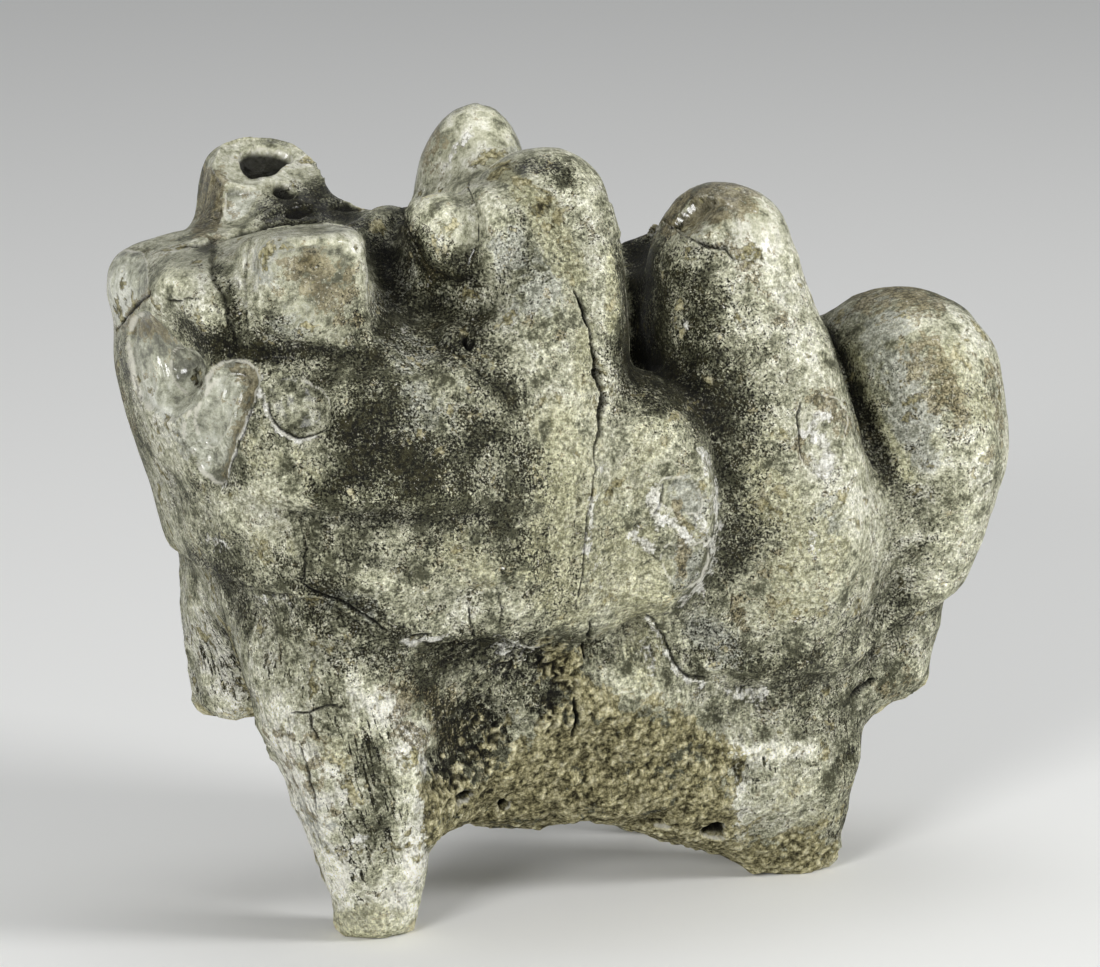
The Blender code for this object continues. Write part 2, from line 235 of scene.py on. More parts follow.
def refine(tooth, wanted):  # halves the mesh on the faces that have wanted corners
    mesh = tooth.data
    starts, sizes, corners = (np.empty(count, np.int32)
                              for count in (len(mesh.polygons), len(mesh.polygons), len(mesh.loops)))
    mesh.polygons.foreach_get("loop_start", starts)
    mesh.polygons.foreach_get("loop_total", sizes)
    mesh.loops.foreach_get("vertex_index", corners)
    share = np.add.reduceat(wanted.astype(float)[corners], starts) / sizes
    pickOnly(tooth)
    mesh.vertices.foreach_set("select", np.zeros(len(mesh.vertices), bool))
    mesh.edges.foreach_set("select", np.zeros(len(mesh.edges), bool))
    mesh.polygons.foreach_set("select", share > 0.4)  # two corners of four are enough
    bpy.context.tool_settings.mesh_select_mode = (False, False, True)
    bpy.ops.object.mode_set(mode="EDIT")
    bpy.ops.mesh.subdivide(number_cuts=1, smoothness=1.0, ngon=False)
    bpy.ops.mesh.select_all(action="DESELECT")
    bpy.ops.object.mode_set(mode="OBJECT")


def lookAt(tooth):  # the tooth's points, which of them the photograph shows, and where
    mesh = tooth.data
    mesh.update()
    points = readVectors(mesh.vertices, "co") * 1000
    normals = readVectors(mesh.vertices, "normal")
    toEye = -fromEye(points)
    toEye /= np.linalg.norm(toEye, axis=1)[:, None]
    facing = np.sum(normals * toEye, axis=1)
    tree = BVHTree.FromPolygons([v.co for v in mesh.vertices], [p.vertices for p in mesh.polygons])
    clear = np.zeros(len(points), bool)
    for i in np.flatnonzero(facing > 0):
        start = Vector((points[i] + normals[i] * 0.5) / 1000)  # off the surface, so that it isn't hit
        clear[i] = tree.ray_cast(start, Vector(toEye[i]), 0.4)[0] is None  # and past the whole tooth
    strays, size = molar["wander"]
    wobble = np.stack([roughNoise(points, size, seed, 3) for seed in (11, 23)], 1) * strays
    return {
        "points": points,
        "normals": normals,
        "seen": clear * blend(facing, 0.0, 0.12),  # fades where the tooth turns away
        "flat": toPhoto(points) / photo["pixelsPerMm"] + wobble,
    }


def aboveMargin(points):  # height above the enamel's lower edge
    x, y = points[:, 0], points[:, 1]
    nearEdge = np.interp(x, *np.array(molar["nearEdge"], float).T)
    farEdge = np.interp(x, *np.array(molar["farEdge"], float).T)
    swing, size, seed, layers = molar["edgeWaves"]
    wave = roughNoise(points, size, seed, layers) * swing
    return points[:, 2] - (nearEdge + (farEdge - nearEdge) * blend(y, -28, 22)) + wave


# what is drawn on the tooth, by its place in the photograph, and what each kind does to the surface

cuts = {  # half width, depth, darkness and line of each crack and crevice
    "main crack top": (0.45, 1.4, 1.0, [(575, 290), (585, 313), (590, 330), (595, 360)]),
    "main crack": (0.75, 2.6, 1.0, [(590, 328), (597, 368), (603, 400), (601, 423), (597, 443), (595, 456)]),
    "main crack low": (0.25, 0.7, 0.7, [(595, 455), (591, 485), (587, 515), (584, 545), (582, 575),
        (574, 603)]),
    "crack below 1": (0.35, 1.2, 0.9, [(592, 620), (587, 640), (586, 662)]),
    "crack below 2": (0.4, 1.3, 0.9, [(573, 700), (575, 716), (573, 736)]),
    "enamel split 1": (0.25, 0.5, 0.9, [(471, 606), (470, 622), (474, 638)]),
    "enamel split 2": (0.22, 0.4, 0.7, [(500, 589), (501, 610), (500, 629)]),
    "enamel split 3": (0.22, 0.4, 0.6, [(733, 592), (732, 615), (727, 645)]),
    "enamel split 4": (0.26, 0.5, 0.9, [(301, 530), (306, 548), (304, 566), (305, 580)]),
    "enamel split 5": (0.2, 0.3, 0.6, [(345, 532), (343, 552), (348, 572)]),
    "margin line": (0.35, 0.9, 1.0, [(302, 583), (322, 596), (346, 605), (368, 618), (389, 632), (408, 640),
        (430, 634)]),
    "root crack across": (0.25, 0.6, 0.9, [(291, 714), (303, 713), (313, 709), (330, 705), (343, 707)]),
    "root crack down 1": (0.25, 0.6, 0.9, [(309, 711), (312, 728), (320, 741)]),
    "root crack down 2": (0.22, 0.5, 0.8, [(300, 745), (308, 765), (315, 790), (318, 806)]),
    "root crack down 3": (0.22, 0.5, 0.8, [(336, 708), (336, 724)]),
    "cusp crack": (0.25, 0.5, 0.8, [(472, 183), (477, 205), (478, 230), (481, 262)]),
    "front crack": (0.25, 0.5, 0.8, [(163, 297), (178, 300), (192, 296), (202, 299)]),
    "corner crack": (0.35, 0.9, 1.0, [(116, 329), (124, 318), (135, 305), (150, 293)]),
    "heel crack": (0.3, 0.6, 0.9, [(982, 486), (990, 482), (998, 478)]),
    "neck crevice": (0.6, 1.4, 0.9, [(856, 695), (866, 687), (878, 680)]),
    "second cusp crevice": (0.45, 0.7, 0.5, [(401, 208), (409, 228), (420, 252), (436, 272), (459, 282),
        (486, 275)]),
    "knob pit": (0.8, 1.6, 0.9, [(462, 338), (468, 346), (474, 340)]),
    "wall fold": (0.4, 0.5, 0.4, [(442, 345), (468, 364), (494, 384), (512, 402)]),
    "crest crevice": (0.45, 1.2, 1.0, [(182, 247), (208, 242), (234, 236), (254, 230), (285, 224),
        (316, 221)]),
    "shield left": (0.6, 0.4, 0.4, [(251, 240), (249, 262), (246, 300), (249, 338)]),
    "front groove": (0.8, 0.7, 0.5, [(212, 250), (214, 275), (224, 300), (230, 320), (236, 346)]),
    "third crevice": (0.8, 0.6, 0.4, [(827, 317), (837, 350), (855, 409), (867, 449), (882, 478)]),
    "third chip edge": (0.35, 0.6, 0.7, [(668, 220), (680, 232), (700, 243), (726, 249), (736, 262)]),
    "third flake edge": (0.35, 0.5, 0.8, [(803, 402), (797, 416), (800, 436), (802, 458)]),
    "small chip line": (0.28, 0.4, 0.9, [(266, 396), (269, 412), (280, 428), (298, 438), (316, 435),
        (328, 426)]),
    "leaf line": (0.25, 0.4, 0.8, [(258, 396), (249, 416), (241, 440), (232, 466), (222, 486)]),
    "boss flake edge": (0.3, 0.5, 0.6, [(664, 482), (662, 500), (650, 516)]),
    "edge flake": (0.35, 0.8, 0.7, [(642, 612), (655, 622), (664, 636), (668, 648), (676, 664), (690, 678),
        (712, 684)]),
}


def cutCracks(look, ragged, offset, masks):
    for halfWidth, depth, dark, line in cuts.values():
        index, line = near(look, line)
        gap, along = lineDistance(look["flat"][index], line)
        ends = blend(along, 0, molar["crackTaper"]) * blend(1 - along, 0, molar["crackTaper"])
        width = halfWidth * (0.5 + 0.5 * ends) * (1 + 0.5 * ragged[index])
        share = np.clip(1 - gap / width, 0, 1) * look["seen"][index]
        offset[index] -= depth * share ** 0.7 * (0.3 + 0.7 * ends)
        raiseTo(masks["crack"], index, dark * share ** 0.6)


chips = {  # depth, reach of its bowl, width of its pale rim, how glassy or dark it is, and its outline
    "corner": (0.5, 3.0, 0.35, 1.0, 0, [(104, 255), (112, 251), (128, 248), (142, 249), (149, 270),
        (148, 294), (134, 306), (124, 326), (116, 327), (105, 313), (101, 290), (100, 268)]),
    "bowl": (3.0, 5.0, 0.3, 1.0, 0, [(129, 322), (126, 345), (128, 368), (134, 392), (146, 410), (166, 426),
        (187, 412), (202, 386), (205, 366), (198, 350), (180, 343), (168, 330), (155, 318), (144, 309),
        (135, 312)]),
    "bowl middle": (1.6, 3.0, 0.25, 1.0, 0.1, [(164, 357), (162, 372), (168, 386), (182, 394), (196, 388),
        (203, 374), (202, 360), (190, 349), (174, 348)]),
    "leaf": (1.6, 2.4, 0.4, 0.6, 0, [(197, 390), (206, 374), (220, 363), (238, 358), (252, 362), (261, 377),
        (256, 395), (247, 414), (238, 440), (229, 466), (220, 488), (206, 478), (192, 457), (182, 436),
        (187, 410)]),
    "leaf middle": (0.9, 1.4, 0.28, 1.0, 0, [(199, 392), (208, 379), (222, 375), (233, 380), (236, 396),
        (229, 418), (219, 440), (204, 456), (192, 440), (190, 414)]),
    "third": (0.9, 1.2, 0.25, 0.2, 0, [(262, 385), (266, 410), (278, 430), (296, 441), (318, 437), (332, 424),
        (330, 400), (316, 384), (296, 376), (274, 374)]),
    "third ridge top": (0.4, 2.0, 0.2, 0.3, 0, [(640, 246), (652, 232), (664, 220), (680, 232), (700, 243),
        (727, 249), (745, 232), (730, 200), (704, 194), (690, 200), (684, 208), (672, 219)]),
    "first far plane": (0.2, 0.6, 0.2, 0.8, 0, [(227, 187), (242, 188), (265, 187), (256, 200), (247, 215),
        (234, 222), (223, 222), (225, 205)]),
    "first worn pit": (3.0, 1.6, 0.2, 0, 1.0, [(238, 158), (241, 148), (254, 142), (274, 145), (296, 152),
        (291, 160), (282, 166), (278, 173), (267, 178), (254, 178), (244, 174), (239, 167)]),
    "second worn pit": (1.8, 1.6, 0.15, 0, 1.0, [(276, 183), (287, 182), (295, 188), (297, 195), (288, 199),
        (276, 197), (271, 190)]),
    "conelet pit": (1.2, 1.6, 0.15, 0, 0.8, [(330, 203), (345, 199), (362, 201), (370, 207), (358, 212),
        (338, 211)]),
    "boss window": (0.35, 0.8, 0.3, 0.3, 0, [(660, 478), (680, 473), (698, 482), (704, 500), (700, 513),
        (686, 515), (672, 512), (660, 508), (656, 492)]),
    "boss window low": (0.35, 0.8, 0.3, 0.2, 0, [(662, 540), (684, 547), (704, 536), (709, 556), (702, 576),
        (686, 590), (670, 580), (658, 562)]),
    "third window": (0.4, 1.0, 0.25, 0.1, 0, [(812, 400), (826, 395), (840, 400), (846, 418), (842, 444),
        (836, 468), (822, 476), (806, 470), (798, 452), (799, 430)]),
    "crest pit": (1.0, 1.2, 0.1, 0, 0.7, [(284, 212), (296, 204), (312, 204), (316, 212), (300, 218),
        (286, 220)]),
    "matrix hole 1": (2.5, 1.0, 0.2, 0, 0.9, [(455, 798), (460, 790), (470, 788), (472, 795), (462, 804),
        (456, 806)]),
    "matrix hole 2": (2.2, 0.8, 0.2, 0, 0.9, [(495, 800), (502, 794), (510, 796), (512, 802), (504, 808),
        (496, 808)]),
    "matrix hole 3": (2.4, 0.9, 0.2, 0, 0.9, [(636, 820), (645, 816), (660, 817), (674, 824), (668, 828),
        (650, 824), (640, 826)]),
    "matrix hole 4": (3.0, 1.5, 0.2, 0, 0.9, [(699, 832), (704, 822), (714, 818), (724, 822), (725, 836),
        (716, 838), (703, 838)]),
}


def breakChips(look, ragged, offset, masks):
    ringHeight, ringTurns = molar["chipRings"]
    for depth, reach, rim, glassy, dark, outline in chips.values():
        index, outline = near(look, rounded(outline))
        inside = insideDistance(look["flat"][index], outline)
        seen, rough = look["seen"][index], ragged[index]
        bowl = blend(inside, -0.15, 0.35) * 0.35 + blend(inside, 0, reach) * 0.65  # a lip and the bowl
        rings = ringHeight * np.sin(inside * ringTurns) * blend(inside, 0.3, 1.2)
        offset[index] -= (depth * bowl + rings) * seen
        within = blend(inside, -0.15, 0.3) * seen
        masks["glass"][index] = np.maximum(masks["glass"][index] * (1 - within), glassy * within)
        broken = blend(rough, -0.6, 0.0) * seen  # where the rim is pale, and not dark
        paleRim = np.clip(1 - np.abs(inside - 0.1) / (rim * (0.8 + 0.5 * rough)), 0, 1)
        raiseTo(masks["rim"], index, paleRim * broken)
        darkRim = 0.55 * np.clip(1 - np.abs(inside + 0.3) / 0.3, 0, 1) * (seen - broken)
        raiseTo(masks["crack"], index, np.maximum(darkRim, dark * blend(inside, 0, 0.8)))


facets = {  # how much of the bulge each worn or broken flat loses, how soft its edge is, and its outline
    "first far wear": (0.85, 0.5, [(212, 175), (213, 158), (221, 143), (240, 133), (262, 136), (286, 143),
        (306, 152), (322, 168), (329, 186), (314, 184), (298, 181), (280, 182), (262, 182), (242, 185),
        (228, 183)]),
    "first far front": (1.0, 0.4, [(226, 186), (242, 187), (266, 186), (257, 200), (248, 216), (234, 224),
        (220, 226)]),
    "first far left": (0.5, 0.7, [(210, 170), (225, 184), (222, 204), (218, 226), (200, 232), (196, 226),
        (203, 190)]),
    "third top": (0.7, 0.6, [(638, 250), (652, 232), (664, 220), (680, 232), (700, 243), (727, 249),
        (740, 232), (732, 206), (714, 196), (694, 197), (684, 208), (672, 219)]),
    "shield top": (0.6, 0.8, [(253, 238), (268, 229), (292, 225), (320, 222), (345, 225), (352, 236),
        (300, 240), (262, 246)]),
    "shield face": (0.5, 1.6, [(256, 248), (300, 242), (350, 240), (362, 280), (366, 330), (355, 356),
        (300, 356), (260, 340)]),
    "boss face": (0.5, 2.5, [(620, 420), (660, 408), (696, 440), (712, 500), (706, 560), (680, 604),
        (630, 606)]),
    "third face": (0.4, 3.0, [(700, 280), (770, 260), (800, 330), (820, 420), (800, 500), (730, 500),
        (690, 400)]),
    "wall low": (0.4, 4.0, [(200, 480), (320, 500), (440, 500), (540, 490), (550, 590), (430, 600),
        (300, 560), (215, 540)]),
}


def flattenFacets(tooth, look):  # worn and broken flats are pulled down to a plane through their own rim
    points = look["points"].copy()
    for share, softness, outline in facets.values():
        index, outline = near(look, outline)
        inside = insideDistance(look["flat"][index], outline)
        rim = points[index][np.abs(inside) < 1.0]
        middle = rim.mean(0)
        across = np.linalg.svd(rim - middle)[2][2]
        height = (points[index] - middle) @ across
        lowered = share * blend(inside, 0, softness) * look["seen"][index] * height
        points[index] -= lowered[:, None] * across
    setPoints(tooth, points)


raised = {  # height, softness of its edge, and outline of what stands proud
    "shield": (0.4, 2.4, [(254, 236), (266, 229), (292, 225), (325, 222), (345, 225), (356, 242), (365, 272),
        (369, 310), (371, 345), (366, 358), (344, 354), (320, 350), (290, 346), (268, 342), (257, 330),
        (253, 300)]),
    "sand lobe": (1.2, 1.5, [(424, 792), (440, 784), (455, 792), (452, 815), (440, 832), (428, 850),
        (424, 830)]),
    "second cusp lobe": (1.3, 3.0, [(394, 208), (425, 188), (468, 176), (512, 186), (530, 235), (514, 274),
        (470, 286), (438, 280), (416, 256), (402, 230)]),
    "knob": (1.2, 1.6, [(436, 325), (450, 317), (463, 324), (464, 342), (450, 352), (437, 342)]),
    "boss": (0.5, 3.0, [(610, 410), (640, 392), (675, 402), (702, 440), (714, 500), (712, 560), (690, 610),
        (640, 620), (610, 600)]),
    "pale crest": (0.6, 1.2, [(252, 218), (267, 207), (285, 202), (286, 207), (276, 216), (263, 223),
        (234, 234), (201, 241), (184, 244), (184, 240), (212, 233), (237, 227)]),
    "coat edge": (0.35, 0.7, [(500, 160), (520, 176), (548, 200), (570, 232), (584, 270), (590, 320),
        (580, 300), (562, 268), (540, 240), (520, 210), (500, 184)]),
    "boss flakes": (0.35, 0.5, [(646, 505), (656, 500), (664, 512), (672, 528), (668, 552), (654, 560),
        (646, 540)]),
    "boss rim flakes": (0.3, 0.5, [(696, 452), (706, 462), (716, 490), (720, 520), (716, 556), (702, 586),
        (692, 596), (700, 560), (706, 520), (704, 488)]),
    "second edge flake": (0.6, 0.5, [(597, 198), (608, 200), (617, 215), (620, 234), (612, 238), (604, 224)]),
    "third flakes": (0.35, 0.5, [(812, 396), (830, 394), (842, 412), (846, 440), (838, 462), (822, 470),
        (812, 450), (816, 420)]),
}

reliefs = {  # height, reach and line of soft ridges, and of hollows below 0
    "first far left": (-0.5, 2.4, [(206, 150), (201, 172), (196, 205)]),
    "first far rim": (0.3, 0.6, [(222, 144), (212, 163), (213, 170), (226, 184), (252, 185), (276, 180)]),
    "first far corner": (0.4, 0.6, [(226, 185), (223, 205)]),
    "first far basin": (-0.8, 2.6, [(236, 148), (262, 145), (290, 152), (312, 168)]),
    "lobe to cusp": (2.0, 4.0, [(498, 212), (506, 238), (496, 262)]),
    "second rib": (0.8, 2.2, [(590, 195), (606, 250), (612, 330)]),
    "coat trough": (-0.7, 2.0, [(548, 210), (566, 250), (580, 288)]),
    "second face": (0.6, 4.0, [(530, 230), (540, 300), (545, 350)]),
    "crack fill": (0.9, 1.2, [(594, 470), (588, 515), (584, 560), (576, 600)]),
    "under the lobe": (-1.2, 3.0, [(440, 300), (462, 312), (490, 300)]),
    "valley": (-0.8, 5.0, [(395, 250), (410, 300), (430, 330)]),
    "shield right": (0.5, 0.9, [(358, 240), (367, 290), (369, 350)]),
    "shield side": (0.9, 2.2, [(247, 255), (246, 300), (250, 342)]),
    "pearl": (0.7, 0.9, [(242, 282), (243, 288)]),
    "front lobe": (0.5, 3.0, [(170, 270), (190, 300)]),
    "front lobe 2": (0.5, 2.0, [(196, 310), (206, 330)]),
    "under shield": (0.8, 1.8, [(268, 372), (300, 366), (345, 370)]),
    "third left": (-0.8, 5.0, [(650, 290), (662, 350), (690, 400)]),
    "third rib": (0.6, 2.5, [(790, 260), (815, 330), (838, 400), (850, 460)]),
    "heel ridge": (0.8, 2.4, [(840, 330), (866, 388), (890, 436), (912, 480)]),
    "heel hollow": (-0.6, 2.2, [(845, 352), (862, 404), (884, 460)]),
    "neck hollow": (-0.8, 4.0, [(240, 620), (290, 650), (330, 660)]),
    "root rib": (0.6, 2.5, [(300, 740), (330, 830), (352, 900)]),
    "root trough": (-0.6, 2.5, [(372, 760), (386, 830), (396, 890)]),
    "root right rib": (0.5, 1.6, [(412, 740), (416, 820), (414, 900)]),
    "fill roll": (0.9, 3.0, [(470, 772), (540, 790), (600, 800)]),
    "fill dip": (-1.2, 3.5, [(560, 745), (620, 760), (670, 775)]),
    "white band": (0.5, 1.2, [(733, 752), (770, 750), (808, 750)]),
}


def raiseParts(look, ragged, offset):
    for height, softness, outline in raised.values():
        index, outline = near(look, rounded(outline))
        inside = insideDistance(look["flat"][index], outline) + ragged[index] * 0.2
        offset[index] += height * blend(inside, -softness * 0.3, softness) * look["seen"][index]
    for height, reach, line in reliefs.values():
        index, line = near(look, line, reach * 2)
        gap, _ = lineDistance(look["flat"][index], line)
        offset[index] += height * np.exp(-((gap / reach) ** 2)) * look["seen"][index]


spongy = {  # depth, reach and line of the spongy, pitted patches
    "below the wall": (0.9, 4.0, [(480, 712), (494, 730), (478, 752)]),
    "left of the crack": (0.9, 4.5, [(540, 652), (556, 680), (546, 708)]),
    "under the edge": (0.6, 4.0, [(455, 655), (490, 668), (520, 672)]),
    "fill left": (0.6, 4.0, [(440, 760), (455, 790)]),
}


def pitSponge(look, offset, masks):
    pitted = roughNoise(look["points"], molar["spongePits"], 71, 2)
    for depth, reach, line in spongy.values():
        index, line = near(look, line, reach * 2)
        gap, _ = lineDistance(look["flat"][index], line)
        share = np.exp(-((gap / reach) ** 2)) * look["seen"][index] * blend(pitted[index], -0.15, 0.5)
        offset[index] -= depth * share
        raiseTo(masks["crack"], index, 0.65 * share)


def detailGap(look, edgesOnly):  # distance from each point to the nearest line that needs a finer mesh
    flat, gap = look["flat"], np.full(len(look["points"]), 99.0)

    def reachTo(shape, measure):
        index, shape = near(look, shape)
        gap[index] = np.minimum(gap[index], measure(flat[index], shape))

    for halfWidth, _, _, line in cuts.values():
        reachTo(line, lambda flat, line: lineDistance(flat, line)[0] - halfWidth * 0.6)
    for *_, outline in chips.values():
        if edgesOnly:
            reachTo(outline, lambda flat, outline: np.abs(insideDistance(flat, outline)))
        else:  # its whole bowl, and half a mm round it
            reachTo(outline, lambda flat, outline: np.maximum(-insideDistance(flat, outline) - 0.5, 0))
    for _, softness, outline in facets.values():
        if softness < 1:
            reachTo(outline, lambda flat, outline: np.abs(insideDistance(flat, outline)))
    if not edgesOnly:
        for _, _, outline in raised.values():
            reachTo(outline, lambda flat, outline: np.maximum(np.abs(insideDistance(flat, outline)) - 1.0, 0))
        for _, reach, line in spongy.values():
            reachTo(line, lambda flat, line: np.maximum(lineDistance(flat, line)[0] - reach, 0))
    return gap


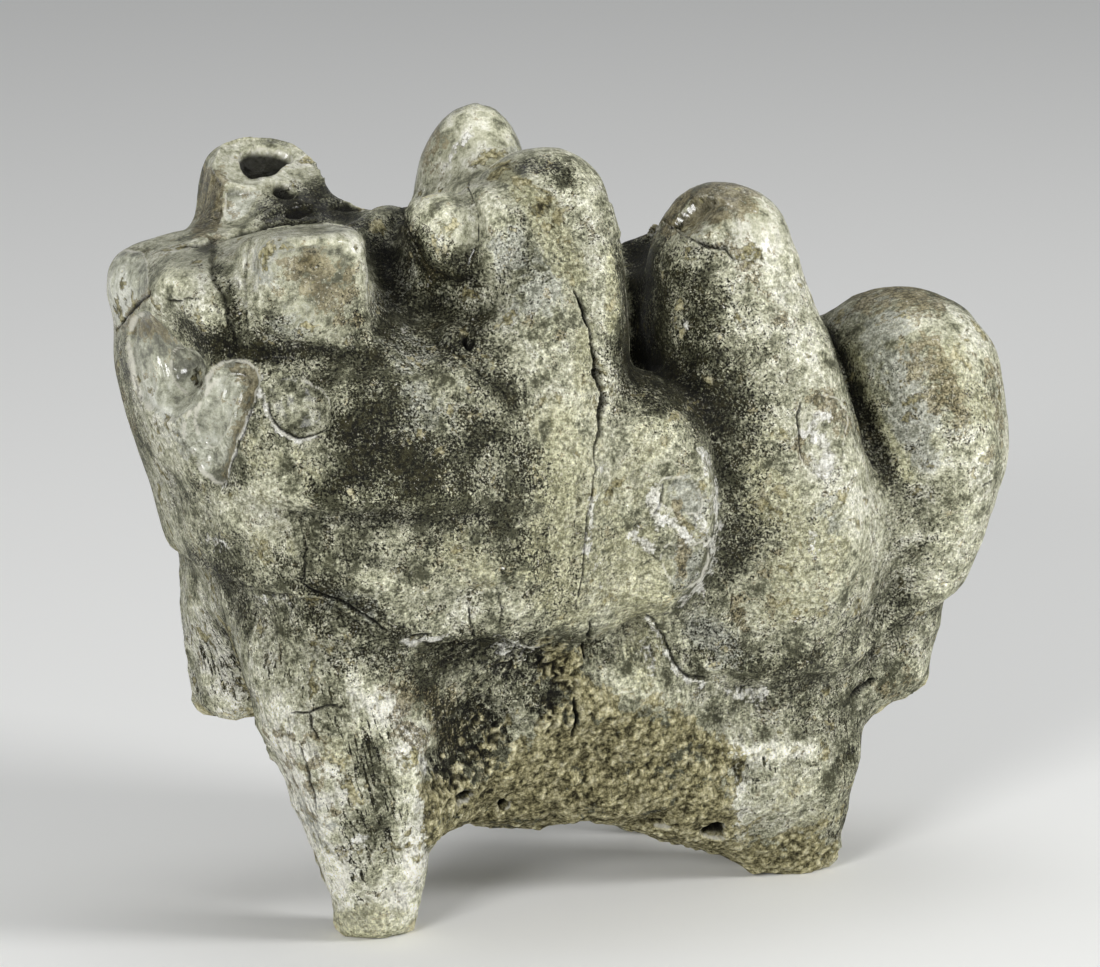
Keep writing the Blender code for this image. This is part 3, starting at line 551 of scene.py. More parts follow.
paints = {  # strength, soft reach and line of each stroke of stain, dirt or bare colour, and of painted shade and painted highlight where noted
    "dark": {
        # stain in part and painted shade in part: the valley between the first two ridges
        "valley": (0.35, 8, [(395, 260), (420, 300), (440, 350), (470, 390)]),
        "amber strip": (0.6, 1.8, [(212, 178), (213, 200), (207, 222)]),
        # stain in part and painted shade in part, like the valley above
        "valley low": (0.6, 8, [(392, 330), (382, 395), (415, 435), (462, 462)]),
        "stain core": (1.0, 5, [(350, 430), (375, 440), (400, 455), (425, 480)]),
        "stain tail": (1.0, 2.5, [(375, 460), (350, 478), (322, 494)]),
        "stain right": (0.45, 4, [(480, 420), (520, 450), (535, 480)]),
        "notch": (1.0, 3, [(452, 345), (468, 335), (478, 322)]),
        "notch below": (0.7, 4, [(440, 300), (450, 330), (490, 370), (520, 400)]),
        "cusp underside": (0.9, 2.0, [(403, 218), (416, 252), (438, 277), (470, 283)]),
        "sub cusp": (0.7, 4, [(422, 250), (442, 263), (466, 268)]),
        "near cusp top": (0.75, 2.2, [(512, 176), (530, 162), (552, 166), (566, 176)]),
        "near cusp face": (0.15, 6, [(520, 230), (535, 300), (540, 360)]),
        "crest": (0.9, 3.0, [(262, 218), (290, 206), (318, 196), (340, 196)]),
        "crest back": (0.75, 3.0, [(300, 212), (340, 214), (380, 226)]),
        "conelets": (0.5, 3.0, [(340, 190), (370, 195), (395, 215)]),
        "behind shield": (0.45, 3.0, [(376, 240), (384, 290), (384, 340)]),
        "bowl middle": (0.5, 2.0, [(174, 366), (188, 372)]),
        "shield heart": (0.6, 2.5, [(306, 262), (322, 280), (318, 300)]),
        "front groove": (0.55, 1.8, [(212, 246), (222, 280), (232, 315), (238, 345)]),
        "front blotch": (0.8, 3.2, [(185, 322), (205, 335), (226, 346)]),
        "front lobe shade": (0.4, 2.5, [(160, 275), (196, 262), (206, 255)]),
        # painted shadow in the recess under the shield's lower edge
        "shield foot shadow": (0.95, 2.2, [(205, 345), (250, 350), (300, 352), (345, 352), (372, 352)]),
        "shield low": (0.55, 4.5, [(275, 325), (310, 325), (345, 320)]),
        "below shield": (0.55, 5, [(290, 372), (340, 378), (370, 400)]),
        "bowl top": (0.5, 2.5, [(142, 322), (160, 336), (172, 345)]),
        "bowl left": (0.3, 1.5, [(126, 345), (128, 375), (140, 402)]),
        # stain in part and painted shade in part: the third ridge's left side, turned from the light
        "third left": (0.75, 9, [(648, 262), (670, 300), (690, 350), (720, 385)]),
        "third left low": (0.75, 7, [(640, 340), (670, 380), (710, 410)]),
        "third edge": (0.95, 4, [(632, 250), (634, 300), (638, 360), (655, 400)]),
        "third middle": (0.4, 8, [(740, 420), (760, 480), (750, 520)]),
        "third right side": (0.5, 3, [(725, 560), (745, 520), (730, 480)]),
        "third back": (0.9, 2.6, [(833, 335), (846, 370), (862, 415), (884, 470)]),
        "heel left": (0.5, 3, [(866, 412), (884, 454), (900, 492)]),
        "front smudge": (0.5, 3, [(195, 488), (225, 482), (250, 470)]),
        "front smudge low": (0.45, 2.5, [(215, 534), (232, 538)]),
        "margin left": (0.5, 2.5, [(196, 556), (220, 575), (245, 598)]),
        "left edge": (0.4, 3, [(108, 340), (122, 400), (140, 450)]),
        "wall middle": (0.4, 10, [(330, 540), (420, 540), (500, 530)]),
        "wall low": (0.2, 6, [(345, 572), (390, 580), (440, 572)]),
        "wall patch": (0.5, 5, [(325, 482), (355, 494), (376, 500)]),
        "wall right": (0.4, 7, [(480, 500), (540, 560)]),
        "below edge": (0.5, 8, [(240, 585), (300, 610), (350, 650), (330, 690)]),
        "edge wedge": (0.6, 2.0, [(312, 588), (345, 598), (378, 614), (405, 632)]),
        "neck middle": (0.65, 5, [(450, 650), (480, 660), (510, 672)]),
        "neck left": (0.35, 5, [(390, 660), (430, 680), (440, 720)]),
        "spongy 1": (0.8, 4, [(475, 715), (492, 730), (478, 748)]),
        "spongy 2": (0.8, 4, [(540, 655), (555, 680), (545, 705)]),
        "root front": (0.65, 6.5, [(366, 750), (380, 790), (376, 828)]),
        "root front right": (0.7, 4, [(425, 690), (452, 740), (440, 770)]),
        "root foot": (0.6, 4, [(345, 850), (370, 875), (360, 900)]),
        "neck right": (0.6, 6, [(690, 605), (715, 580), (735, 560)]),
        "edge blue": (0.4, 5, [(690, 640), (740, 660), (800, 665)]),
        "neck back": (0.45, 8, [(800, 690), (850, 650), (900, 620)]),
        "boss foot": (0.5, 4, [(560, 612), (575, 640), (600, 650)]),
        "heel root": (0.5, 6, [(840, 720), (860, 760), (850, 800)]),
        "root stub": (0.35, 5, [(215, 640), (235, 690), (205, 700)]),
    },
    "pale": {
        "second cusp": (0.2, 9, [(560, 200), (580, 260), (560, 330), (560, 400)]),
        "second right": (0.6, 4, [(605, 230), (612, 300), (618, 370)]),
        "second lobe right": (0.5, 4, [(490, 215), (500, 250)]),
        "far cusp": (0.3, 6, [(450, 140), (475, 160)]),
        # painted highlight: bright curved bands on the far cusp's polish
        "far cusp highlight band": (1.0, 1.2, [(446, 166), (452, 146), (466, 134), (484, 132)]),
        "far cusp highlight band 2": (1.0, 0.8, [(458, 168), (470, 152), (492, 148)]),
        "bowl low": (1.0, 2.5, [(134, 392), (150, 410), (166, 418)]),
        "corner glass": (0.9, 2.0, [(112, 272), (122, 298), (120, 316)]),
        "leaf middle": (0.8, 3.0, [(212, 385), (206, 420)]),
        # painted highlight: bright lines along the first far cusp's worn rim
        "first far rim": (1.0, 0.9, [(213, 170), (226, 184), (252, 185), (276, 180)]),
        "first far rim highlight left": (1.0, 1.2, [(213, 168), (213, 158), (223, 143)]),
        "first far top": (0.6, 4, [(230, 148), (270, 144), (305, 160)]),
        "first far front": (1.0, 2.4, [(238, 196), (246, 205), (232, 216)]),
        "shield left": (0.8, 1.4, [(256, 250), (258, 285), (262, 310)]),
        "first far streaks": (0.9, 1.0, [(280, 165), (300, 163), (322, 174)]),
        "pale crest": (1.0, 1.2, [(206, 237), (230, 230), (256, 218), (284, 206)]),
        "shield": (0.3, 5, [(272, 250), (280, 290), (290, 300)]),
        # painted highlight: the shield's polished top rim and its right edge
        "shield rim highlight": (0.9, 1.1, [(258, 237), (290, 229), (325, 225), (348, 230)]),
        "shield right": (0.9, 1.6, [(352, 234), (362, 262), (367, 300), (370, 345)]),
        "front lobe": (0.3, 5, [(165, 262), (190, 290), (200, 320)]),
        "pearl": (1.0, 1.0, [(242, 281), (243, 290)]),
        "under shield": (0.6, 2.0, [(268, 372), (300, 368), (345, 372)]),
        # pale enamel in part and painted light in part: the lit right side of the third ridge
        "third right": (0.6, 9, [(745, 250), (790, 330), (820, 420), (850, 520)]),
        "third top": (0.5, 6, [(735, 195), (770, 215)]),
        "third low": (0.3, 10, [(800, 520), (830, 600)]),
        # pale enamel in part and painted light in part: the lit right rim of the heel
        "heel right": (0.2, 4, [(960, 320), (985, 370), (990, 440), (970, 520)]),
        "heel streaks": (0.7, 3, [(905, 340), (925, 400), (935, 460)]),
        "heel top": (0.3, 6, [(870, 300), (920, 300)]),
        "boss": (0.4, 9, [(640, 430), (660, 520), (650, 590)]),
        "wall left": (0.45, 9, [(180, 470), (220, 500), (280, 520)]),
        "below left": (0.5, 4, [(240, 600), (270, 600), (285, 612)]),
        "root front left": (1.0, 6, [(285, 730), (305, 800), (330, 870)]),
        "root front top": (1.0, 5, [(362, 690), (395, 720), (415, 745)]),
        "root front low": (1.0, 5, [(318, 850), (345, 905)]),
        "root front right": (1.0, 3, [(418, 800), (412, 860), (400, 910)]),
        "root foot": (0.6, 5, [(350, 920), (400, 915)]),
        "root band 1": (0.8, 1.6, [(280, 750), (310, 752), (334, 752)]),
        "root band 2": (0.8, 1.6, [(290, 774), (316, 776), (336, 772)]),
        "root band 3": (0.8, 1.8, [(300, 798), (326, 800), (346, 796)]),
        "stub": (0.7, 6, [(205, 600), (215, 660), (230, 700)]),
        "white band": (1.0, 1.6, [(735, 752), (770, 750), (805, 750)]),
        "white patch": (0.8, 2.5, [(740, 790), (736, 820), (740, 836)]),
        "back root": (0.5, 7, [(780, 780), (800, 830)]),
        "neck": (0.4, 6, [(440, 610), (500, 605), (560, 600)]),
        "faint line": (0.6, 0.35, [(411, 493), (441, 488), (472, 475), (506, 469), (537, 456)]),
    },
    "chalk": {
        # painted highlight: the far cusp's bright band, laid on as chalk
        "far cusp highlight": (0.6, 0.9, [(450, 162), (455, 148), (466, 137), (480, 133)]),
        "edge white": (0.9, 0.8, [(400, 644), (416, 647), (430, 641), (446, 635)]),
        "edge white 2": (0.7, 0.9, [(500, 640), (520, 648), (545, 650)]),
        "edge white 3": (0.85, 0.8, [(646, 618), (658, 632), (664, 650), (676, 668), (690, 682), (706, 688)]),
        "edge v": (0.9, 1.4, [(735, 697), (750, 703), (764, 692)]),
        "boss rim": (0.7, 1.4, [(698, 450), (712, 480), (718, 520), (713, 560), (700, 592)]),
        "boss rim low": (0.7, 1.2, [(706, 572), (694, 592), (680, 606)]),
        "boss bits": (0.95, 1.8, [(656, 486), (650, 506), (655, 524)]),
        "boss bits 2": (0.9, 1.6, [(632, 534), (640, 542), (648, 546)]),
        "boss bits 3": (0.9, 1.4, [(672, 522), (682, 532), (692, 540)]),
        "boss bits 4": (0.8, 1.2, [(696, 514), (704, 524), (707, 546)]),
        "boss low": (0.7, 1.6, [(640, 640), (648, 655), (652, 672)]),
        "crack side": (0.75, 1.2, [(588, 500), (590, 525), (586, 550)]),
        "crack side low": (0.6, 1.4, [(596, 560), (602, 585)]),
        "crack side top": (0.5, 1.0, [(603, 455), (598, 480), (596, 500)]),
        "third chip": (0.95, 2.0, [(822, 440), (828, 455), (824, 470)]),
        "third chip top": (0.7, 1.6, [(806, 434), (816, 424), (828, 416)]),
        "third window low": (0.8, 1.2, [(812, 532), (818, 548)]),
        "small chip edge": (1.0, 0.6, [(262, 392), (266, 412), (278, 430), (296, 441), (314, 438)]),
        "leaf edge": (0.7, 0.5, [(262, 380), (257, 397), (248, 416), (239, 442), (230, 468), (222, 488)]),
        "root right": (0.5, 1.0, [(424, 850), (420, 890)]),
        "root shoulder": (0.5, 2.2, [(408, 728), (416, 752), (424, 770)]),
        "root spot": (0.75, 1.4, [(356, 840), (362, 843)]),
        "below ledge": (0.5, 2.0, [(256, 600), (276, 604)]),
        "neck bit": (0.6, 1.8, [(500, 652), (525, 660)]),
        "wall bits": (0.45, 2.2, [(206, 540), (226, 548)]),
        "spot 1": (1.0, 0.6, [(473, 295), (474, 296)]),
        "spot 2": (1.0, 0.6, [(684, 323), (685, 324)]),
        "spot 3": (0.9, 0.5, [(404, 327), (405, 328)]),
    },
    "sand": {
        "cusp coat": (0.5, 3.2, [(493, 162), (506, 176), (524, 192), (547, 212), (562, 242), (576, 280)]),
        "fill top": (0.85, 4, [(560, 650), (585, 700), (560, 730)]),
        "fill": (1.0, 9, [(500, 780), (570, 780), (640, 780), (690, 795)]),
        "fill upper": (0.95, 7, [(590, 735), (640, 735), (680, 745)]),
        "fill low": (1.0, 6, [(460, 810), (540, 812), (620, 820), (700, 848), (790, 862)]),
        "lobe": (1.0, 4, [(438, 795), (436, 830)]),
        "heel root low": (0.6, 3, [(800, 855), (830, 850)]),
    },
    "dust": {
        "crack left": (0.9, 6, [(560, 430), (560, 520), (560, 600)]),
        "crack left top": (0.6, 3, [(575, 300), (585, 380)]),
        "crack right": (0.8, 6, [(620, 540), (640, 600), (640, 660)]),
        "cusp coat": (1.0, 2.4, [(495, 165), (520, 190), (547, 208), (565, 240), (579, 279)]),
        "cusp coat side": (0.8, 3.5, [(540, 225), (560, 260)]),
        "second right": (0.8, 1.6, [(608, 250), (612, 330)]),
        "wall": (0.5, 7, [(440, 560), (520, 570)]),
        "wall front": (0.5, 6, [(250, 440), (300, 470)]),
        "third low": (0.5, 8, [(780, 600), (830, 560)]),
        "third ridge": (0.6, 8, [(760, 470), (800, 540)]),
        "heel ridge": (1.0, 1.8, [(850, 345), (862, 385), (882, 428), (908, 474)]),
        "heel right": (0.8, 3, [(950, 350), (968, 390), (985, 410)]),
        "boss": (0.5, 8, [(640, 430), (650, 560)]),
        "boss low": (0.9, 3, [(650, 560), (640, 590)]),
        "root top": (0.5, 5, [(300, 730), (330, 740)]),
        "root foot": (0.7, 5, [(350, 925), (400, 925)]),
        "heel root": (0.5, 8, [(780, 780), (830, 850)]),
        "left wall": (0.3, 9, [(200, 510), (300, 560)]),
    },
    "brown": {
        "amber strip": (2.0, 2.4, [(211, 180), (212, 205), (206, 226)]),
        "far cusp left": (0.7, 2.5, [(436, 135), (430, 165)]),
        "shield blotch": (1.1, 2.2, [(303, 262), (316, 270), (322, 282)]),
        "shield middle": (0.9, 4, [(296, 272), (326, 288)]),
        "shield low": (0.7, 2.5, [(326, 304), (344, 320)]),
        "shield side": (0.5, 2.0, [(345, 260), (352, 300), (350, 330)]),
        "third top": (1.3, 4.5, [(665, 215), (700, 205), (735, 195)]),
        "third top 2": (0.6, 3, [(726, 245), (745, 262)]),
        "leaf rim": (0.9, 1.5, [(252, 374), (252, 390), (245, 410)]),
        "leaf top": (0.9, 1.8, [(232, 368), (244, 374)]),
        "leaf rim low": (0.85, 1.3, [(238, 425), (228, 455), (220, 476)]),
        "corner": (0.9, 0.8, [(104, 312), (114, 329), (124, 322), (135, 305), (149, 292)]),
        "corner top": (0.5, 0.7, [(104, 254), (124, 249), (146, 250)]),
        "bowl": (0.8, 2.2, [(133, 328), (146, 322), (160, 332)]),
        "heel spots": (0.9, 2.5, [(925, 345), (945, 375), (952, 398)]),
        "heel spots 2": (0.7, 2.5, [(910, 350), (930, 400), (960, 420)]),
        "heel top": (0.9, 3, [(860, 300), (900, 292), (935, 305)]),
        "heel edge": (0.5, 2, [(990, 365), (998, 410), (994, 450)]),
        "root top": (0.8, 3, [(405, 725), (418, 745)]),
        "root shoulder": (0.6, 3.5, [(395, 690), (430, 712), (452, 740)]),
        "neck middle": (0.5, 3, [(442, 700), (452, 730)]),
        "neck back": (0.5, 3, [(888, 690), (905, 680)]),
        "third wall": (0.4, 4, [(760, 570), (775, 600)]),
        "third dots": (0.6, 1.8, [(768, 300), (780, 318)]),
        "third chip": (0.9, 2.2, [(816, 402), (832, 404), (840, 425)]),
        "third chip left": (0.7, 1.5, [(802, 440), (803, 458)]),
        "boss": (0.9, 1.4, [(676, 505), (680, 522), (684, 560), (682, 574)]),
        "root line 1": (0.6, 1.2, [(268, 733), (300, 738), (332, 743)]),
        "root line 2": (0.6, 1.2, [(280, 762), (310, 765), (338, 761)]),
        "root line 3": (0.6, 1.2, [(290, 784), (320, 786), (345, 780)]),
        "root line 4": (0.6, 1.1, [(298, 812), (328, 814), (350, 808)]),
        "edge bits": (0.7, 1.6, [(735, 600), (742, 625)]),
        "left edge": (0.6, 2.0, [(108, 350), (118, 395), (132, 430)]),
        "sub cusp": (0.5, 2.5, [(420, 250), (440, 270)]),
    },
    "blue": {
        "heel": (0.9, 6, [(880, 330), (900, 380), (915, 440)]),
        "cusp": (0.5, 6, [(530, 300), (560, 330)]),
        "cusp high": (0.7, 5, [(515, 250), (545, 282)]),
        "valley": (0.4, 8, [(400, 300), (420, 400)]),
        "boss": (1.0, 3.4, [(680, 486), (688, 504)]),
        "boss low": (0.8, 3.4, [(676, 552), (692, 560), (682, 578)]),
        "third window low": (0.7, 3, [(828, 510), (832, 540)]),
        "shield": (0.4, 6, [(270, 260), (280, 320)]),
        "leaf": (0.8, 3, [(190, 430), (200, 460)]),
        "edge": (0.7, 4, [(700, 630), (740, 660)]),
        "edge left": (0.6, 3, [(330, 598), (370, 610)]),
        "third side": (0.6, 3, [(822, 520), (836, 560)]),
        "root": (0.4, 4, [(300, 800), (330, 830)]),
    },
    "polish": {
        "corner": (1.0, 4, [(110, 265), (125, 290), (118, 315)]),
        "shield": (0.95, 7, [(270, 250), (330, 250), (310, 310)]),
        "first far": (1.0, 7, [(215, 170), (240, 190), (290, 150)]),
        "far cusp": (1.0, 8, [(445, 140), (475, 135), (500, 150)]),
        "sub cusp": (0.5, 6, [(445, 220), (470, 240)]),
        "third top": (0.9, 6, [(680, 215), (730, 195), (770, 225)]),
        "bowl": (1.0, 5, [(150, 350), (180, 380)]),
        "leaf": (1.0, 4, [(200, 400), (220, 440)]),
        "front": (0.7, 6, [(165, 260), (200, 270)]),
        "heel": (0.35, 8, [(895, 325), (940, 340)]),
        "conelets": (0.7, 5, [(345, 192), (375, 195)]),
    },
}


def paintStrokes(look, strokes):
    total = np.zeros(len(look["points"]))
    for strength, reach, line in strokes.values():
        index, line = near(look, line, reach * 2.2)
        gap, _ = lineDistance(look["flat"][index], line)
        dab = strength * np.exp(-((gap / reach) ** 2) * 1.2)
        total[index] = 1 - (1 - total[index]) * (1 - dab)
    return total


print("photograph view and drawn detail ready")


def spread(tooth, values, rounds):  # averages values over the mesh's edges
    edges = np.empty(len(tooth.data.edges) * 2, np.int32)
    tooth.data.edges.foreach_get("vertices", edges)
    a, b = edges[::2], edges[1::2]
    count = len(values)
    degree = np.maximum(np.bincount(a, minlength=count) + np.bincount(b, minlength=count), 1)
    for _ in range(rounds):
        around = np.bincount(a, values[b], count) + np.bincount(b, values[a], count)
        values = (values + around / degree) / 2
    return values


def hollowness(tooth, points, normals, rounds):  # above 0 in a hollow, below 0 on a ridge, in mm
    smooth = np.stack([spread(tooth, points[:, k], rounds) for k in range(3)], 1)
    return np.sum((smooth - points) * normals, axis=1)


# patches where the photograph doesn't show the tooth: size, seed and layers, where each starts and is full,
# and its strength
hidden = {
    "dark": (22, 301, 3, 0.0, 0.7, 0.7),
    "pale": (26, 311, 3, 0.05, 0.6, 0.7),
    "brown": (14, 321, 3, 0.4, 0.9, 0.8),
    "dust": (18, 361, 3, 0.1, 0.7, 0.9),
    "blue": (24, 331, 2, 0.3, 0.8, 0.8),
    "chalk": (11, 341, 3, 0.6, 0.95, 0.8),
    "sand": (16, 351, 3, 0.4, 0.8, 0.7),
}


def stainHiddenSide(tooth, look, height, masks):  # its stains, dirt and sand come from its shape, and its valleys are darkened by stain and painted shade
    points, normals = look["points"], look["normals"]
    known = np.clip(spread(tooth, look["seen"], 6), 0, 1) * blend(look["seen"], 0, 0.3)
    unseen = 1 - spread(tooth, known, 8)
    valley = blend(hollowness(tooth, points, normals, 60), 0.1, 1.4)  # between the ridges
    patch = {}
    for name, (size, seed, layers, low, high, strength) in hidden.items():
        patch[name] = strength * blend(roughNoise(points, size, seed, layers), low, high)
    for name in ("pale", "brown", "dust", "blue", "chalk"):
        masks[name] += unseen * patch[name]
    # the hidden side is darker in its valleys: stain in part and painted shade in part
    masks["dark"] += unseen * np.clip(0.6 * valley + patch["dark"], 0, 1)
    masks["polish"] += unseen * 0.45 * blend(points[:, 2], 105, 130)  # on the cusps' tips
    underneath = blend(-normals[:, 2], 0.1, 0.6) * blend(-height, 4, 16)
    masks["sand"] += unseen * np.clip(underneath * 0.9 + 0.8 * valley * blend(-height, -2, 6)
                                      + patch["sand"] * masks["root"], 0, 1)


def unevenness(points, height, masks):  # the ledge at the enamel's edge, lumps, grit and crumbs of sand
    root, enamel = masks["root"], 1 - masks["root"]
    smoothed = 1 - 0.9 * np.clip(np.maximum(masks["polish"], masks["glass"]), 0, 1)
    sandy = blend(masks["sand"] + 0.25 * roughNoise(points, 6, 431, 3), 0.35, 0.65) * root
    crumbs = np.abs(roughNoise(points, 2.6, 411, 3)) + 0.6 * np.abs(softNoise(points, 7, 415))
    uneven = -molar["ledge"] * blend(-height, -0.2, 0.5) * (1 - blend(-height, 2, 14))
    bare = enamel * smoothed
    for name, where in (("rootLumps", root), ("crownLumps", bare), ("crownGrit", bare)):
        rise, size, seed, layers = molar[name]
        uneven += rise * where * roughNoise(points, size, seed, layers)
    return uneven + sandy * (molar["sandCrumbs"] * crumbs + molar["sandRise"])


def makeTooth():
    tooth = copyOfNode(frame["nodes"]["molar"])
    print("body:", len(tooth.data.polygons), "faces")
    look = lookAt(tooth)
    onMargin = (np.abs(aboveMargin(look["points"]) + 0.5) < 1.6) & (look["seen"] > 0)
    sandy = paintStrokes(look, paints["sand"]) > molar["sandyFrom"]
    refine(tooth, (detailGap(look, False) < molar["fineNearDetail"]) | sandy | onMargin)
    refine(tooth, detailGap(lookAt(tooth), True) < molar["finestNearCrack"])
    flattenFacets(tooth, lookAt(tooth))
    tooth.data.calc_loop_triangles()
    print("refined:", len(tooth.data.polygons), "faces,", len(tooth.data.loop_triangles), "triangles")

    look = lookAt(tooth)
    points, normals = look["points"], look["normals"]
    height = aboveMargin(points)
    offset = np.zeros(len(points))
    masks = {name: np.zeros(len(points)) for name in ("crack", "glass", "rim")}
    ragged = roughNoise(points, molar["raggedSize"], 61, 3)
    cutCracks(look, ragged, offset, masks)
    breakChips(look, ragged, offset, masks)
    raiseParts(look, ragged, offset)
    pitSponge(look, offset, masks)

    masks["root"] = blend(-height, -0.3, 0.4)
    masks["strands"] = blend(-height, 5, 18)
    masks["grown"] = (blend(height, -1, 1) * (1 - blend(height, 6, 18))
                      * blend(roughNoise(points, 20, 97, 2), -0.3, 0.4))
    for name, strokes in paints.items():
        masks[name] = paintStrokes(look, strokes)
    stainHiddenSide(tooth, look, height, masks)
    offset += unevenness(points, height, masks)

    points = points + normals * offset[:, None]
    points[:, 2] = np.maximum(points[:, 2], 0.0)  # the roots stand on the floor
    setPoints(tooth, points)
    normals = readVectors(tooth.data.vertices, "normal")
    # painted shade: small hollows and deep valleys darken the colour, and small hollows also thicken the
    # stain a little
    masks["hollowShadeAndStain"] = hollowness(tooth, points, normals, 4) * 3.0
    masks["deepShade"] = hollowness(tooth, points, normals, 40) * 0.55
    for name, values in masks.items():
        layer = tooth.data.attributes.new(name, "FLOAT", "POINT")
        layer.data.foreach_set("value", np.clip(values, -1, 1).astype(np.float32))
    tooth.data.polygons.foreach_set("use_smooth", np.ones(len(tooth.data.polygons), bool))
    print("surface shaped")
    return tooth


# material

def colour(code):  # an sRGB hex value as the linear colour that a node takes
    parts = [int(code[i:i + 2], 16) / 255 for i in (1, 3, 5)]
    return tuple(c / 12.92 if c <= 0.04045 else ((c + 0.055) / 1.055) ** 2.4 for c in parts) + (1.0,)


def addNode(tree, kind, inputs=(), output=0, stops=(), **settings):  # adds a node and gives back its output
    node = tree.nodes.new(kind)
    for name, value in settings.items():
        setattr(node, name, value)
    for socket, value in inputs.items() if isinstance(inputs, dict) else enumerate(inputs):
        if isinstance(value, bpy.types.NodeSocket):
            tree.links.new(value, node.inputs[socket])
        else:
            node.inputs[socket].default_value = value
    for i, (place, code) in enumerate(stops):
        element = node.color_ramp.elements[i] if i < 2 else node.color_ramp.elements.new(place)
        element.position = place
        element.color = colour(code)
    return node.outputs[output] if node.outputs else node


def addUp(tree, start, *parts):  # a start value and what each part adds to it, times its weight
    for part, weight in parts:
        start = addNode(tree, "ShaderNodeMath", [part, weight, start], operation="MULTIPLY_ADD")
    return start


def layOver(tree, under, over, cover, name):  # puts a named coat over what is under, and gives its share too
    low, high, strength = fossil["covers"][name]
    share = addNode(tree, "ShaderNodeMapRange", [cover, low, high, 0.0, strength],
                    interpolation_type="SMOOTHSTEP")
    return addNode(tree, "ShaderNodeMix", {0: share, 6: under, 7: over}, output=2, data_type="RGBA"), share


# The real one is enamel and dentine turned to stone, stained by manganese and iron in river sand and then
# washed clean. To the eye it is olive grey and peppered with black where the stain went in, with a dull sheen
# like unglazed pottery, glassy on the worn cusps and in the chips, and matt where chalk and sand still cling.
fossil = {
    "groundTones": [(0.35, "#4C4C3A"), (0.42, "#767661"), (0.46, "#989880"), (0.5, "#B0AF96"),
                    (0.54, "#C1C0A9"), (0.58, "#D5D4C2"), (0.65, "#EBE9DD")],
    "sandTones": [(0.3, "#2F2A16"), (0.42, "#706A4A"), (0.52, "#9C956E"), (0.62, "#BAB38E"),
                  (0.75, "#D5CFAF")],
    "dustTones": [(0.4, "#787659"), (0.5, "#A5A383"), (0.6, "#C8C6A7")],
    "brownTones": [(0.42, "#2C2611"), (0.5, "#685E40"), (0.6, "#9E9575")],
    "glassTones": [(0.38, "#77776A"), (0.46, "#A4A592"), (0.53, "#C3C4B1"), (0.62, "#E0E1D4")],
    "chalkTones": [(0.4, "#B4B2A2"), (0.5, "#DDDBCE"), (0.6, "#F0EFE8")],
    "blueTones": [(0.4, "#6B6D62"), (0.5, "#909289"), (0.6, "#B7B9AF")],
    "stainTones": [(0.42, "#060501"), (0.5, "#131205"), (0.6, "#34321F")],
    "fleckTone": "#D6D3C0",
    "rimTone": "#E4E1D3",
    "crackTone": "#0E0D09",
    "noises": {  # size of the biggest lumps, layers of smaller ones, and how strong those are
        "zone": (17, 3, 0.5),  # as wide as a cusp
        "blotch": (6.5, 7, 0.68),  # patches of stain
        "mottle": (2.8, 8, 0.74),
        "pepper": (0.42, 2, 0.8),  # the real specks are 0.1 to 0.3 mm: drawn coarser, to show
        "fleck": (0.6, 2, 0.8),  # pale flecks between the specks
        "grain": (0.8, 4, 0.85),  # the real grain is nearer 0.1 mm: drawn coarser, to show
    },
    "lines": {  # lean in degrees, waves in a mm along x, y and z, and stretch of the whole
        "fibre": (16, (1.5, 1.5, 0.14), 1.0),  # strands of dentine are 0.1 mm thick: drawn 0.7 mm, to show
        "growth": (0, (0.12, 0.12, 1.7), 0.9),  # growth lines lie 0.2 mm apart: drawn 0.5 mm, to show
    },
    "driftSize": 8.0,  # blotches and growth lines are drawn out by swirls of this size,
    "drift": 6.0,  # this far
    "crazeSize": 4.5,  # fine cracks close cells of this size
    "sandGrain": 0.85,  # real grains are 0.1 to 0.5 mm: drawn coarser, to show
    "covers": {  # each coat over the ground: the cover at which it starts and is full, and its strength
        "blue": (0.3, 0.6, 0.7),
        "dust": (0.3, 0.65, 0.85),
        "glass": (0.3, 0.6, 0.85),
        "brown": (0.42, 0.6, 0.85),
        "stain": (0.085, 0.16, 1.0),
        "fleck": (0.1, 0.17, 0.55),
        "chalk": (0.1, 0.25, 0.92),
        "sand": (0.42, 0.6, 0.97),
        "rim": (0.1, 0.8, 0.75),
        "crack": (0.0, 0.9, 0.95),
    },
    "ior": 1.55,  # sound enamel has 1.62, and stone with fine pores in it less
    "metallic": 0.0,
    "specular": 0.15,  # the pores scatter most of the shine
    "roughness": 0.58,  # washed stone has 0.5 to 0.7
    "glassyRoughness": 0.14,  # worn enamel at its smoothest
    "coatRoughness": 0.16,
    "reliefDepth": 0.0009,  # metres
}


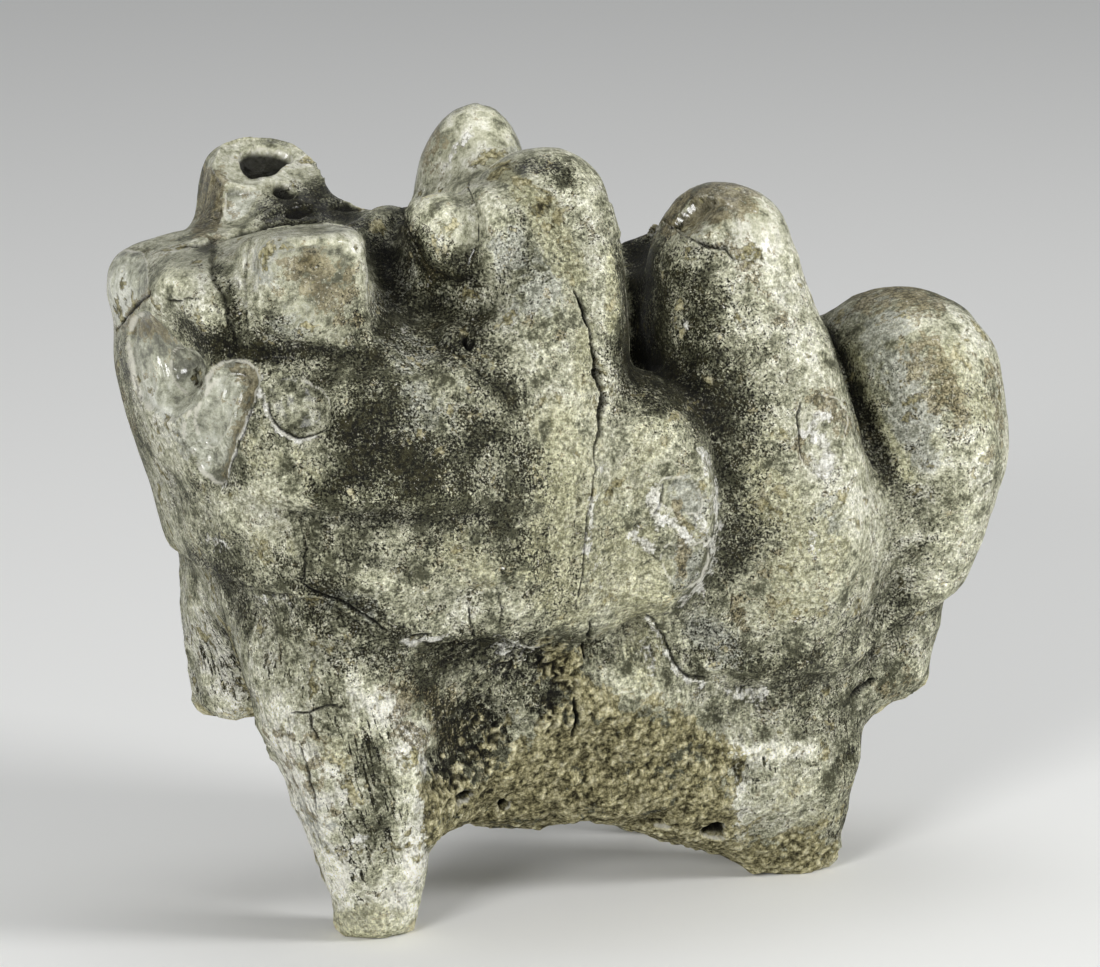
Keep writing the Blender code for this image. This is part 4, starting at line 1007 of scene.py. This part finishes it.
def fossilMaterial():
    material = bpy.data.materials.new("fossil enamel and dentine")
    material.use_nodes = True
    tree = material.node_tree
    tree.nodes.clear()
    place = addNode(tree, "ShaderNodeTexCoord", output="Object")
    place = addNode(tree, "ShaderNodeVectorMath", [place, (1000, 1000, 1000)], operation="MULTIPLY")  # in mm
    drift = addNode(tree, "ShaderNodeTexNoise", {
        "Vector": place, "Scale": 1 / fossil["driftSize"], "Detail": 3.0}, output="Color")
    drift = addNode(tree, "ShaderNodeVectorMath", [drift, (0.5, 0.5, 0.5)], operation="SUBTRACT")
    drifted = addNode(tree, "ShaderNodeVectorMath", [drift, (fossil["drift"],) * 3, place],
                      operation="MULTIPLY_ADD")
    noise = {}
    for name, (size, layers, strength) in fossil["noises"].items():
        noise[name] = addNode(tree, "ShaderNodeTexNoise", {
            "Vector": drifted if name in ("zone", "blotch") else place,
            "Scale": 1 / size, "Detail": layers, "Roughness": strength})
    for name, (lean, waves, size) in fossil["lines"].items():
        along = addNode(tree, "ShaderNodeVectorRotate", {
            "Vector": drifted if name == "growth" else place, "Axis": (0, 1, 0), "Angle": radians(lean)})
        along = addNode(tree, "ShaderNodeVectorMath", [along, waves], operation="MULTIPLY")
        noise[name] = addNode(tree, "ShaderNodeTexNoise", {
            "Vector": along, "Scale": 1 / size, "Detail": 3.0, "Roughness": 0.65})
    for name, value in noise.items():  # each swings about 0
        noise[name] = addNode(tree, "ShaderNodeMath", [value, 0.5], operation="SUBTRACT")
    mask = {name: addNode(tree, "ShaderNodeAttribute", output="Fac", attribute_name=name)
            for name in ("root", "strands", "grown", "hollowShadeAndStain", "deepShade", "crack", "glass", "rim", *paints)}
    smooth = addNode(tree, "ShaderNodeMath", [mask["polish"], mask["glass"]], operation="MAXIMUM")
    calm = addUp(tree, 1.0, (smooth, -0.8))

    # ground: patches of grey, buff and off-white enamel, with thin coats of clay, iron and blue grey
    gritty = addNode(tree, "ShaderNodeMath", [noise["grain"], calm], operation="MULTIPLY")
    # the pale and dark strokes lighten and darken the ground: mostly its own tone, in places painted
    # highlight and painted shade
    ground = addUp(tree, 0.5, (noise["blotch"], 0.85), (noise["mottle"], 0.55), (gritty, 0.5),
                   (mask["pale"], addUp(tree, 0.075, (mask["strands"], 0.1))), (mask["dark"], -0.11))
    base = addNode(tree, "ShaderNodeValToRGB", [ground], stops=fossil["groundTones"])
    tint = addUp(tree, 0.5, (noise["mottle"], 0.8), (gritty, 0.8))
    cloudy = addUp(tree, tint, (noise["blotch"], 0.6), (mask["pale"], 0.09), (mask["dark"], -0.18))
    for name, wander, hold in (("blue", "blotch", 4.0), ("dust", "blotch", 4.0), ("glass", "blotch", 1.0),
                               ("brown", "mottle", 5.0)):
        cover = addUp(tree, mask[name], (noise[wander], hold))
        coat = addNode(tree, "ShaderNodeValToRGB", [cloudy if name == "glass" else tint],
                       stops=fossil[name + "Tones"])
        base, _ = layOver(tree, base, coat, cover, name)

    # manganese stain: black specks that close up where it is dark, which is stain in part and painted shade
    # in part, and pale flecks between them
    strands = addNode(tree, "ShaderNodeMath", [noise["fibre"], mask["strands"]], operation="MULTIPLY")
    speck = addUp(tree, strands, (noise["pepper"], addUp(tree, calm, (mask["strands"], -0.6))))
    cover = addUp(tree, speck, (noise["mottle"], 0.7), (mask["dark"], 0.21), (mask["pale"], -0.045),
                  (smooth, -0.02), (mask["dust"], -0.03), (noise["zone"], 0.35), (mask["glass"], -0.12),
                  (mask["hollowShadeAndStain"], 0.04))
    coat = addNode(tree, "ShaderNodeValToRGB", [tint], stops=fossil["stainTones"])
    base, stain = layOver(tree, base, coat, cover, "stain")
    cover = addUp(tree, noise["fleck"], (noise["blotch"], 0.5), (mask["dark"], -0.04), (mask["pale"], 0.03),
                  (mask["glass"], -0.1))
    base, fleck = layOver(tree, base, colour(fossil["fleckTone"]), cover, "fleck")
    craze = addNode(tree, "ShaderNodeTexVoronoi", {"Vector": drifted, "Scale": 1 / fossil["crazeSize"]},
                    feature="DISTANCE_TO_EDGE")
    craze = addNode(tree, "ShaderNodeMapRange", [craze, 0.035, 0.0, 0.0, 1.0])
    crazed = addNode(tree, "ShaderNodeMapRange", [noise["mottle"], 0.03, 0.07])  # only here and there
    craze = addNode(tree, "ShaderNodeMath", [craze, crazed], operation="MULTIPLY")

    # chalky crust, with one painted highlight on the far cusp, and cemented sand, in grains with dark gaps
    coat = addNode(tree, "ShaderNodeValToRGB", [tint], stops=fossil["chalkTones"])
    cover = addUp(tree, -0.6, (mask["chalk"], 1.25), (noise["mottle"], 4.0), (noise["fleck"], 1.5))
    base, chalk = layOver(tree, base, coat, cover, "chalk")
    grains, grainTone = (addNode(tree, "ShaderNodeTexVoronoi", {
        "Vector": place, "Scale": 1 / fossil["sandGrain"]}, output=name) for name in ("Distance", "Color"))
    # the sand is darker in hollows and deep valleys: painted shade
    sandTone = addUp(tree, 0.5, (grainTone, 0.18), (noise["mottle"], 1.2), (noise["grain"], 0.7),
                     (grains, -0.2), (mask["hollowShadeAndStain"], -0.16), (mask["deepShade"], -0.08))
    coat = addNode(tree, "ShaderNodeValToRGB", [sandTone], stops=fossil["sandTones"])
    cover = addUp(tree, mask["sand"], (noise["blotch"], 4.0), (noise["mottle"], 2.0))
    base, sand = layOver(tree, base, coat, cover, "sand")

    # fibres on the roots, growth lines on the crown, painted shade in the hollows, pale rims and dark cracks
    fibrous = addNode(tree, "ShaderNodeMath", [noise["fibre"], mask["root"]], operation="MULTIPLY")
    grown = addNode(tree, "ShaderNodeMath", [noise["growth"], mask["grown"]], operation="MULTIPLY")
    veins = addUp(tree, -0.4, (smooth, 0.75))  # dark on dull enamel, pale on polished
    # hollows and deep valleys darken it: painted shade
    bright = addUp(tree, 1.0, (gritty, 2.4), (fibrous, 2.0), (grown, 2.2), (mask["hollowShadeAndStain"], -0.4),
                   (mask["deepShade"], -0.3), (craze, veins))
    base = addNode(tree, "ShaderNodeVectorMath", {0: base, 3: bright}, operation="SCALE")
    for name in ("rim", "crack"):
        base, _ = layOver(tree, base, colour(fossil[name + "Tone"]), mask[name], name)

    # worn enamel is smooth under a gloss, and sand, chalk and bare root are rough
    roughness = addUp(tree, fossil["roughness"], (noise["grain"], 0.5), (smooth, -0.38), (sand, 0.3),
                      (mask["root"], 0.12), (stain, -0.08), (chalk, 0.25))
    roughness = addNode(tree, "ShaderNodeMath", [roughness, fossil["glassyRoughness"]], operation="MAXIMUM",
                        use_clamp=True)
    gloss = addUp(tree, 0.0, (smooth, 0.7), (sand, -1.0), (chalk, -0.5), (mask["crack"], -1.0))
    gloss = addNode(tree, "ShaderNodeMath", [gloss, 0.0], operation="MAXIMUM", use_clamp=True)

    # relief too fine for the mesh
    grit = addUp(tree, 0.6, (mask["root"], 0.3), (sand, 0.6), (smooth, -0.5))
    relief = addNode(tree, "ShaderNodeMath", [noise["grain"], grit], operation="MULTIPLY")
    pits = addNode(tree, "ShaderNodeMath", [stain, addUp(tree, -0.16, (smooth, 0.14))], operation="MULTIPLY")
    sunk = addNode(tree, "ShaderNodeMath", [grains, sand], operation="MULTIPLY")
    relief = addUp(tree, relief, (pits, 1.0), (noise["mottle"], 1.1), (fibrous, 0.9), (grown, 0.5),
                   (craze, -0.15), (chalk, 0.2), (fleck, 0.07), (sunk, -0.9))
    normal = addNode(tree, "ShaderNodeBump", {
        "Strength": 1.0, "Distance": fossil["reliefDepth"], "Height": relief})
    shader = addNode(tree, "ShaderNodeBsdfPrincipled", {
        "Base Color": base, "Roughness": roughness, "Normal": normal, "Metallic": fossil["metallic"],
        "IOR": fossil["ior"], "Specular IOR Level": fossil["specular"], "Coat Weight": gloss,
        "Coat Roughness": fossil["coatRoughness"]})
    addNode(tree, "ShaderNodeOutputMaterial", {"Surface": shader})
    return material


tooth = makeTooth()
tooth.data.materials.clear()
tooth.data.materials.append(fossilMaterial())
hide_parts("molar")
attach(tooth, "root")
print("material made")


# studio: a plain pale floor, soft lights and the photograph's camera

studio = {
    "floorRadius": 4.0,  # metres
    "floorColour": "#F4F4F2",
    "floorRoughness": 0.9,  # matt paper
    "worldColour": "#DADCDE",
    "worldStrength": 0.35,
    "sensorWidth": 36,
    "lights": {  # place in metres, size, watts
        "left": ((-1.05, -1.05, 0.5), 0.4, 16),
        "right": ((1.05, -0.8, 0.5), 0.4, 14),
        "top": ((0.1, 0.25, 1.35), 0.8, 4),
    },
}


def makeStudio():
    bpy.ops.object.select_all(action="DESELECT")
    bpy.ops.mesh.primitive_circle_add(vertices=96, radius=studio["floorRadius"], fill_type="NGON")
    floor = bpy.context.object
    floor.name = "studioFloor"
    material = bpy.data.materials.new("matt studio paper")
    material.use_nodes = True
    tree = material.node_tree
    tree.nodes.clear()
    shader = addNode(tree, "ShaderNodeBsdfPrincipled", {"Base Color": colour(studio["floorColour"]),
                                                        "Roughness": studio["floorRoughness"]})
    addNode(tree, "ShaderNodeOutputMaterial", {"Surface": shader})
    floor.data.materials.append(material)
    world = bpy.data.worlds.new("studio air")
    world.use_nodes = True
    world.node_tree.nodes.clear()
    air = addNode(world.node_tree, "ShaderNodeBackground", {"Color": colour(studio["worldColour"]),
                                                            "Strength": studio["worldStrength"]})
    addNode(world.node_tree, "ShaderNodeOutputWorld", {"Surface": air})
    bpy.context.scene.world = world
    aim = Vector(photo["aim"]) / 1000
    for name, (place, size, power) in studio["lights"].items():
        bpy.ops.object.light_add(type="AREA", location=place)
        light = bpy.context.object
        light.name = name + " softbox"
        light.data.size = size
        light.data.energy = power
        light.rotation_mode = "QUATERNION"
        light.rotation_quaternion = (aim - light.location).to_track_quat("-Z", "Y")
    ahead = Vector(viewAxes()[2])
    bpy.ops.object.camera_add(location=aim - ahead * photo["distance"] / 1000)
    camera = bpy.context.object
    camera.rotation_mode = "QUATERNION"
    camera.rotation_quaternion = ahead.to_track_quat("-Z", "Y")
    camera.data.sensor_width = studio["sensorWidth"]
    camera.data.lens = studio["sensorWidth"] * photo["pixelsPerMm"] * photo["distance"] / photo["width"]
    camera.data.clip_start, camera.data.clip_end = 0.05, 20
    bpy.context.scene.camera = camera
    bpy.context.scene.view_settings.view_transform = "Standard"


makeStudio()
print("studio ready")
